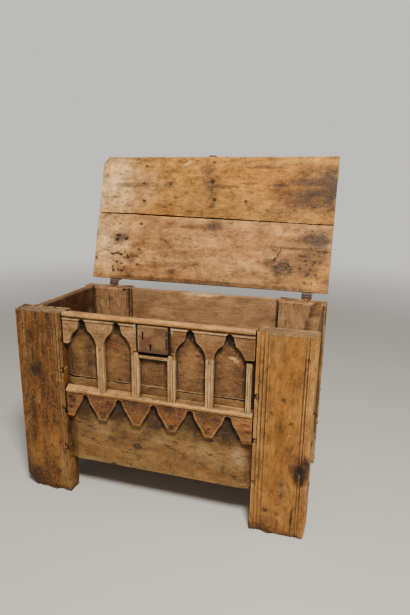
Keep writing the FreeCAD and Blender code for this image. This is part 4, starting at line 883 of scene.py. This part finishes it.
# The hinges and the hasp give the eye dark, rust-brown straps with dull bright corners.
dark_iron = wrought_iron("rusted_wrought_iron", "#4a3b33", "#6a4029", "#8a8078", 0.4)
for node in (
    "lock_bolt", "bolt_guides", "lock_spring",
    "hinge_leaf_left", "hinge_leaf_right", "hinge_pin_left", "hinge_pin_right", "hinge_leaf_nails",
    "hinge_strap_left", "hinge_strap_right", "hasp_strap", "hasp_pin", "hasp_plate", "hasp_staple",
):
    paint(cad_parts[node], dark_iron)


# ---------------------------------------------------------------- lid
# Two wide oak boards, edge to edge on dowels, thrown back on their hinges. The underside never
# met the weather and has stayed golden; it is spotted black round every nail.
hinge_y = 159.577
hinge_z = 675.0
lid_rear_edge = 152.83
lid_underside = 671.3
opened = math.radians(106.5)


def on_lid(x, from_rear, half_x, half_up, colour, strength):
    """A mark on the underside of the open lid, at a distance from the lid's rear edge."""
    ahead_of_pin = lid_rear_edge - from_rear - hinge_y
    below_pin = lid_underside - hinge_z
    y = hinge_y + ahead_of_pin * math.cos(opened) + below_pin * math.sin(opened)
    z = hinge_z - ahead_of_pin * math.sin(opened) + below_pin * math.cos(opened)
    return (x, y, z, half_x, 12 + 0.4 * half_up, half_up, colour, strength)


iron_stain = "#24170f"
deep_stains = (
    (-397, 34), (-359, 36), (-363, 66), (-409, 106), (-367, 104), (-333, 93), (-397, 167),
    (-351, 171), (-392, 189), (-287, 484), (-293, 411), (-286, 337), (-289, 240), (-287, 130),
    (-290, 66),
)
faint_stains = (
    (383, 137), (398, 138), (436, 144), (385, 87), (403, 119), (440, 117), (424, 89), (445, 68),
    (412, 62),
)
nail_stains = tuple(on_lid(x, d, 9, 6, iron_stain, 0.9) for x, d in deep_stains)
nail_stains += tuple(on_lid(x, d, 7, 5, iron_stain, 0.75) for x, d in faint_stains)
nail_halos = ((386, 90), (436, 112), (410, 140))
nail_stains += tuple(on_lid(x, d, 20, 17, "#6e5334", 0.5) for x, d in nail_halos)
lid_marks = nail_stains + (
    # Wear and rust round the nails of the left hinge strap, then of the right one.
    on_lid(-366, 80, 60, 54, "#8a6038", 0.4),
    on_lid(-318, 88, 26, 20, "#56402c", 0.75),
    on_lid(-384, 166, 34, 22, "#5c452f", 0.6),
    on_lid(-375, 180, 50, 18, "#5f4026", 0.83),
    on_lid(-392, 186, 16, 5, iron_stain, 0.85),
    on_lid(-352, 176, 12, 5, iron_stain, 0.8),
    on_lid(-389, 109, 13, 5, iron_stain, 0.85),
    on_lid(-352, 114, 4.5, 9, iron_stain, 0.8),
    on_lid(-340, 102, 4.5, 10, iron_stain, 0.8),
    on_lid(-345, 92, 16, 6, iron_stain, 0.8),
    on_lid(-385, 74, 8, 4.5, iron_stain, 0.75),
    on_lid(-401, 48, 4.5, 8, iron_stain, 0.8),
    on_lid(-349, 52, 5, 7, iron_stain, 0.75),
    on_lid(-376, 42, 9, 4.5, iron_stain, 0.7),
    on_lid(-320, 100, 26, 5, "#5a3a20", 0.78),
    on_lid(410, 100, 50, 50, "#76502c", 0.68),
    # Nails and stains of the hasp strap.
    on_lid(9, 501, 8, 7, iron_stain, 0.95),
    on_lid(6, 423, 12, 10, iron_stain, 0.95),
    on_lid(6, 392, 9, 24, "#5d4634", 0.7),
    on_lid(20, 349, 9, 7, iron_stain, 0.95),
    on_lid(14, 326, 12, 14, "#5d4634", 0.78),
    on_lid(-20, 470, 30, 22, "#5a4430", 0.73),
    on_lid(10, 400, 46, 60, "#86582c", 0.63),
    # Small knots and dark streaks of the front board.
    on_lid(152, 344, 8, 7, "#3c2614", 0.9),
    on_lid(-176, 408, 28, 18, "#55402c", 0.7),
    on_lid(-320, 405, 130, 12, "#7a5c40", 0.68),
    on_lid(60, 402, 60, 8, "#63421f", 0.83),
    on_lid(281, 411, 34, 8, "#4f3219", 0.75),
    on_lid(160, 417, 40, 6, "#63421f", 0.78),
    on_lid(220, 482, 90, 6, "#6b4526", 0.78),
    # Broad changes of tone.
    on_lid(150, 440, 220, 80, "#c47c20", 0.6),
    on_lid(430, 60, 90, 60, "#d08c34", 0.7),
    on_lid(-450, 30, 60, 50, "#d89a4c", 0.45),
    on_lid(-60, 330, 60, 60, "#a06a34", 0.4),
    on_lid(60, 40, 260, 30, "#a8703c", 0.4),
    on_lid(400, 385, 190, 100, "#6f4312", 0.9),
    on_lid(400, 120, 120, 120, "#8a5c2c", 0.63),
    # The pale left end: painted sheen over paler, worn wood.
    on_lid(-440, 410, 90, 120, "#ffd092", 0.82),
    on_lid(-390, 410, 170, 110, "#f4b468", 0.4),
    on_lid(-430, 130, 90, 130, "#ffcc8a", 0.78),
    on_lid(-380, 150, 160, 120, "#f0b066", 0.3),
    # The dark right end of the front board.
    on_lid(400, 425, 120, 16, "#54341c", 0.78),
    on_lid(410, 380, 120, 20, "#4c3518", 0.8),
    on_lid(470, 440, 50, 40, "#4a3a28", 0.7),
    on_lid(430, 340, 100, 22, "#54341c", 0.78),
    on_lid(480, 400, 36, 80, "#332818", 0.8),
    # Pale scrapes and rubbed edges, and pale ground at the left with painted sheen on it.
    on_lid(388, 512, 100, 16, "#cf9240", 0.73),
    on_lid(-95, 505, 10, 4.5, "#ecb974", 0.8),
    on_lid(-106, 498, 10, 4.5, "#ecb974", 0.8),
    on_lid(-118, 491, 10, 4.5, "#ecb974", 0.8),
    on_lid(-130, 485, 10, 4.5, "#ecb974", 0.8),
    on_lid(-420, 508, 90, 7, "#dfb684", 0.78),
    on_lid(-484, 400, 24, 170, "#e8bd82", 0.7),
    on_lid(-482, 160, 20, 150, "#e4b97c", 0.7),
    on_lid(-390, 440, 90, 70, "#ffc884", 0.5),
    on_lid(-400, 320, 80, 50, "#ffc884", 0.5),
    on_lid(-290, 380, 60, 90, "#b98c5c", 0.5),
    # Stains of the rear board, and the crack at its right end.
    on_lid(22, 240, 56, 20, "#4c3826", 0.83),
    on_lid(-60, 232, 60, 6, "#6e4726", 0.78),
    on_lid(-220, 150, 120, 14, "#946434", 0.68),
    on_lid(414, 204, 46, 24, "#443120", 0.85),
    on_lid(455, 200, 48, 50, "#453626", 0.8),
    on_lid(465, 158, 40, 2.2, "#120a05", 0.95),
    on_lid(360, 165, 70, 5, "#5f3d1f", 0.78),
    # Shades of the big knot.
    on_lid(326, 72, 12, 6, "#d9a863", 0.7),
    on_lid(268, 102, 34, 20, "#4c3824", 0.85),
    on_lid(318, 86, 40, 30, "#3a2412", 0.9),
    on_lid(324, 82, 22, 14, "#a87840", 0.8),
    on_lid(380, 70, 60, 24, "#80562e", 0.68),
    # Stains along the rear edge.
    on_lid(-139, 46, 18, 9, "#40291a", 0.75),
    on_lid(-130, 75, 120, 12, "#865a30", 0.68),
    on_lid(0, 8, 560, 10, "#4f3118", 0.7),
    on_lid(-493, 189, 7, 9, "#3a2414", 0.8),
    on_lid(-483, 85, 7, 9, "#3a2414", 0.8),
)


def lid_knot(x, from_rear, half_x, half_depth, half_up, strength):
    """A knot in the underside of the open lid."""
    return (*on_lid(x, from_rear, 0, 0, "", 0)[:3], half_x, half_depth, half_up, strength)


small_knots = (
    lid_knot(-176, 408, 14, 30, 11, 0.8),
    lid_knot(6, 423, 16, 30, 14, 0.9),
    lid_knot(20, 349, 14, 30, 11, 0.9),
    lid_knot(281, 411, 18, 30, 8, 0.7),
)
big_knot = (lid_knot(321, 86, 42, 40, 32, 0.4),)
knot_crack = tuple(
    on_lid(x, d, half, 7, "#24150a", strength)
    for x, d, half, strength in (
        (313, 168, 2.6, 0.5), (307, 160, 3, 0.6), (304, 151, 3.2, 0.75), (299, 143, 3.6, 0.8),
        (296, 133, 4.2, 0.85), (289, 124, 5, 0.9), (284, 115, 6, 0.9),
    )
)
knot_rim = tuple(
    on_lid(322 + reach * 1.3 * math.cos(turn), 86 + reach * math.sin(turn), 7, 4, "#24150a", strength)
    for turn, reach, strength in (
        (-0.6, 22, 0.6), (-0.1, 21, 0.8), (0.4, 20, 0.9), (0.9, 21, 0.85), (1.4, 20, 0.8),
        (1.9, 19, 0.7), (2.4, 21, 0.85), (2.9, 23, 0.9), (0.2, 10, 0.7), (0.9, 10, 0.6),
        (2.2, 9, 0.6), (-1.5, 8, 0.5),
    )
)
chip_places = ((-45, 279), (-120, 281), (333, 268), (200, 271))
seam_chips = tuple(on_lid(x, d, 14, 1.8, "#e6bd84", 0.7) for x, d in chip_places)
all_lid_marks = lid_marks + knot_crack + knot_rim + seam_chips
lid_paints = {
    "lid_board_rear": ("#d59b5b", "#bc7e45", "#784d25", big_knot, 250, 61.0),
    "lid_board_front": ("#d1913f", "#b67a2d", "#6e4314", small_knots, 760, 67.0),
}
lid_seam = 272.5  # distance of the seam from the lid's rear edge, in the middle
lid_seam_slope = 0.021
seam_closed_by = 1.7
# The lid gives the eye golden boards, paler at the left with painted sheen, black round nails and brown
# at the right.
for node, (light, middle, dark, knots, pith_z, shift) in lid_paints.items():
    board = worn_plank(node, {0: 30 * MM, 2: 24 * MM}, loss=2.5 * MM, uneven_face=0.3 * MM)
    if node == "lid_board_front":
        # The seam is planed under square: open on the inside, tight on the outside.
        for vertex in board.data.vertices:
            behind = vertex.co.y - hinge_y * MM
            above = vertex.co.z - hinge_z * MM
            from_rear = (lid_rear_edge - hinge_y) * MM - behind * math.cos(opened)
            from_rear += above * math.sin(opened)
            seam = lid_seam * MM - lid_seam_slope * vertex.co.x
            outside = behind * math.sin(opened) + above * math.cos(opened) > 8 * MM
            if outside and from_rear < seam + 6 * MM:
                vertex.co.y += seam_closed_by * MM * math.cos(opened)
                vertex.co.z -= seam_closed_by * MM * math.sin(opened)
    low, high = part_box(node)
    here = tuple(mark for mark in all_lid_marks if low.z / MM - 30 < mark[2] < high.z / MM + 30)
    paint(board, oak(
        "golden_oak_" + node, "X", light, middle, dark, marks=here, knots=knots, pith=(0, 330, pith_z),
        grime=0.4, streak=0.2, bloom=0.1, pale="#dcb07a", uneven=0.75, roughness=0.56, shift=shift,
    ))
    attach(board, "lid")
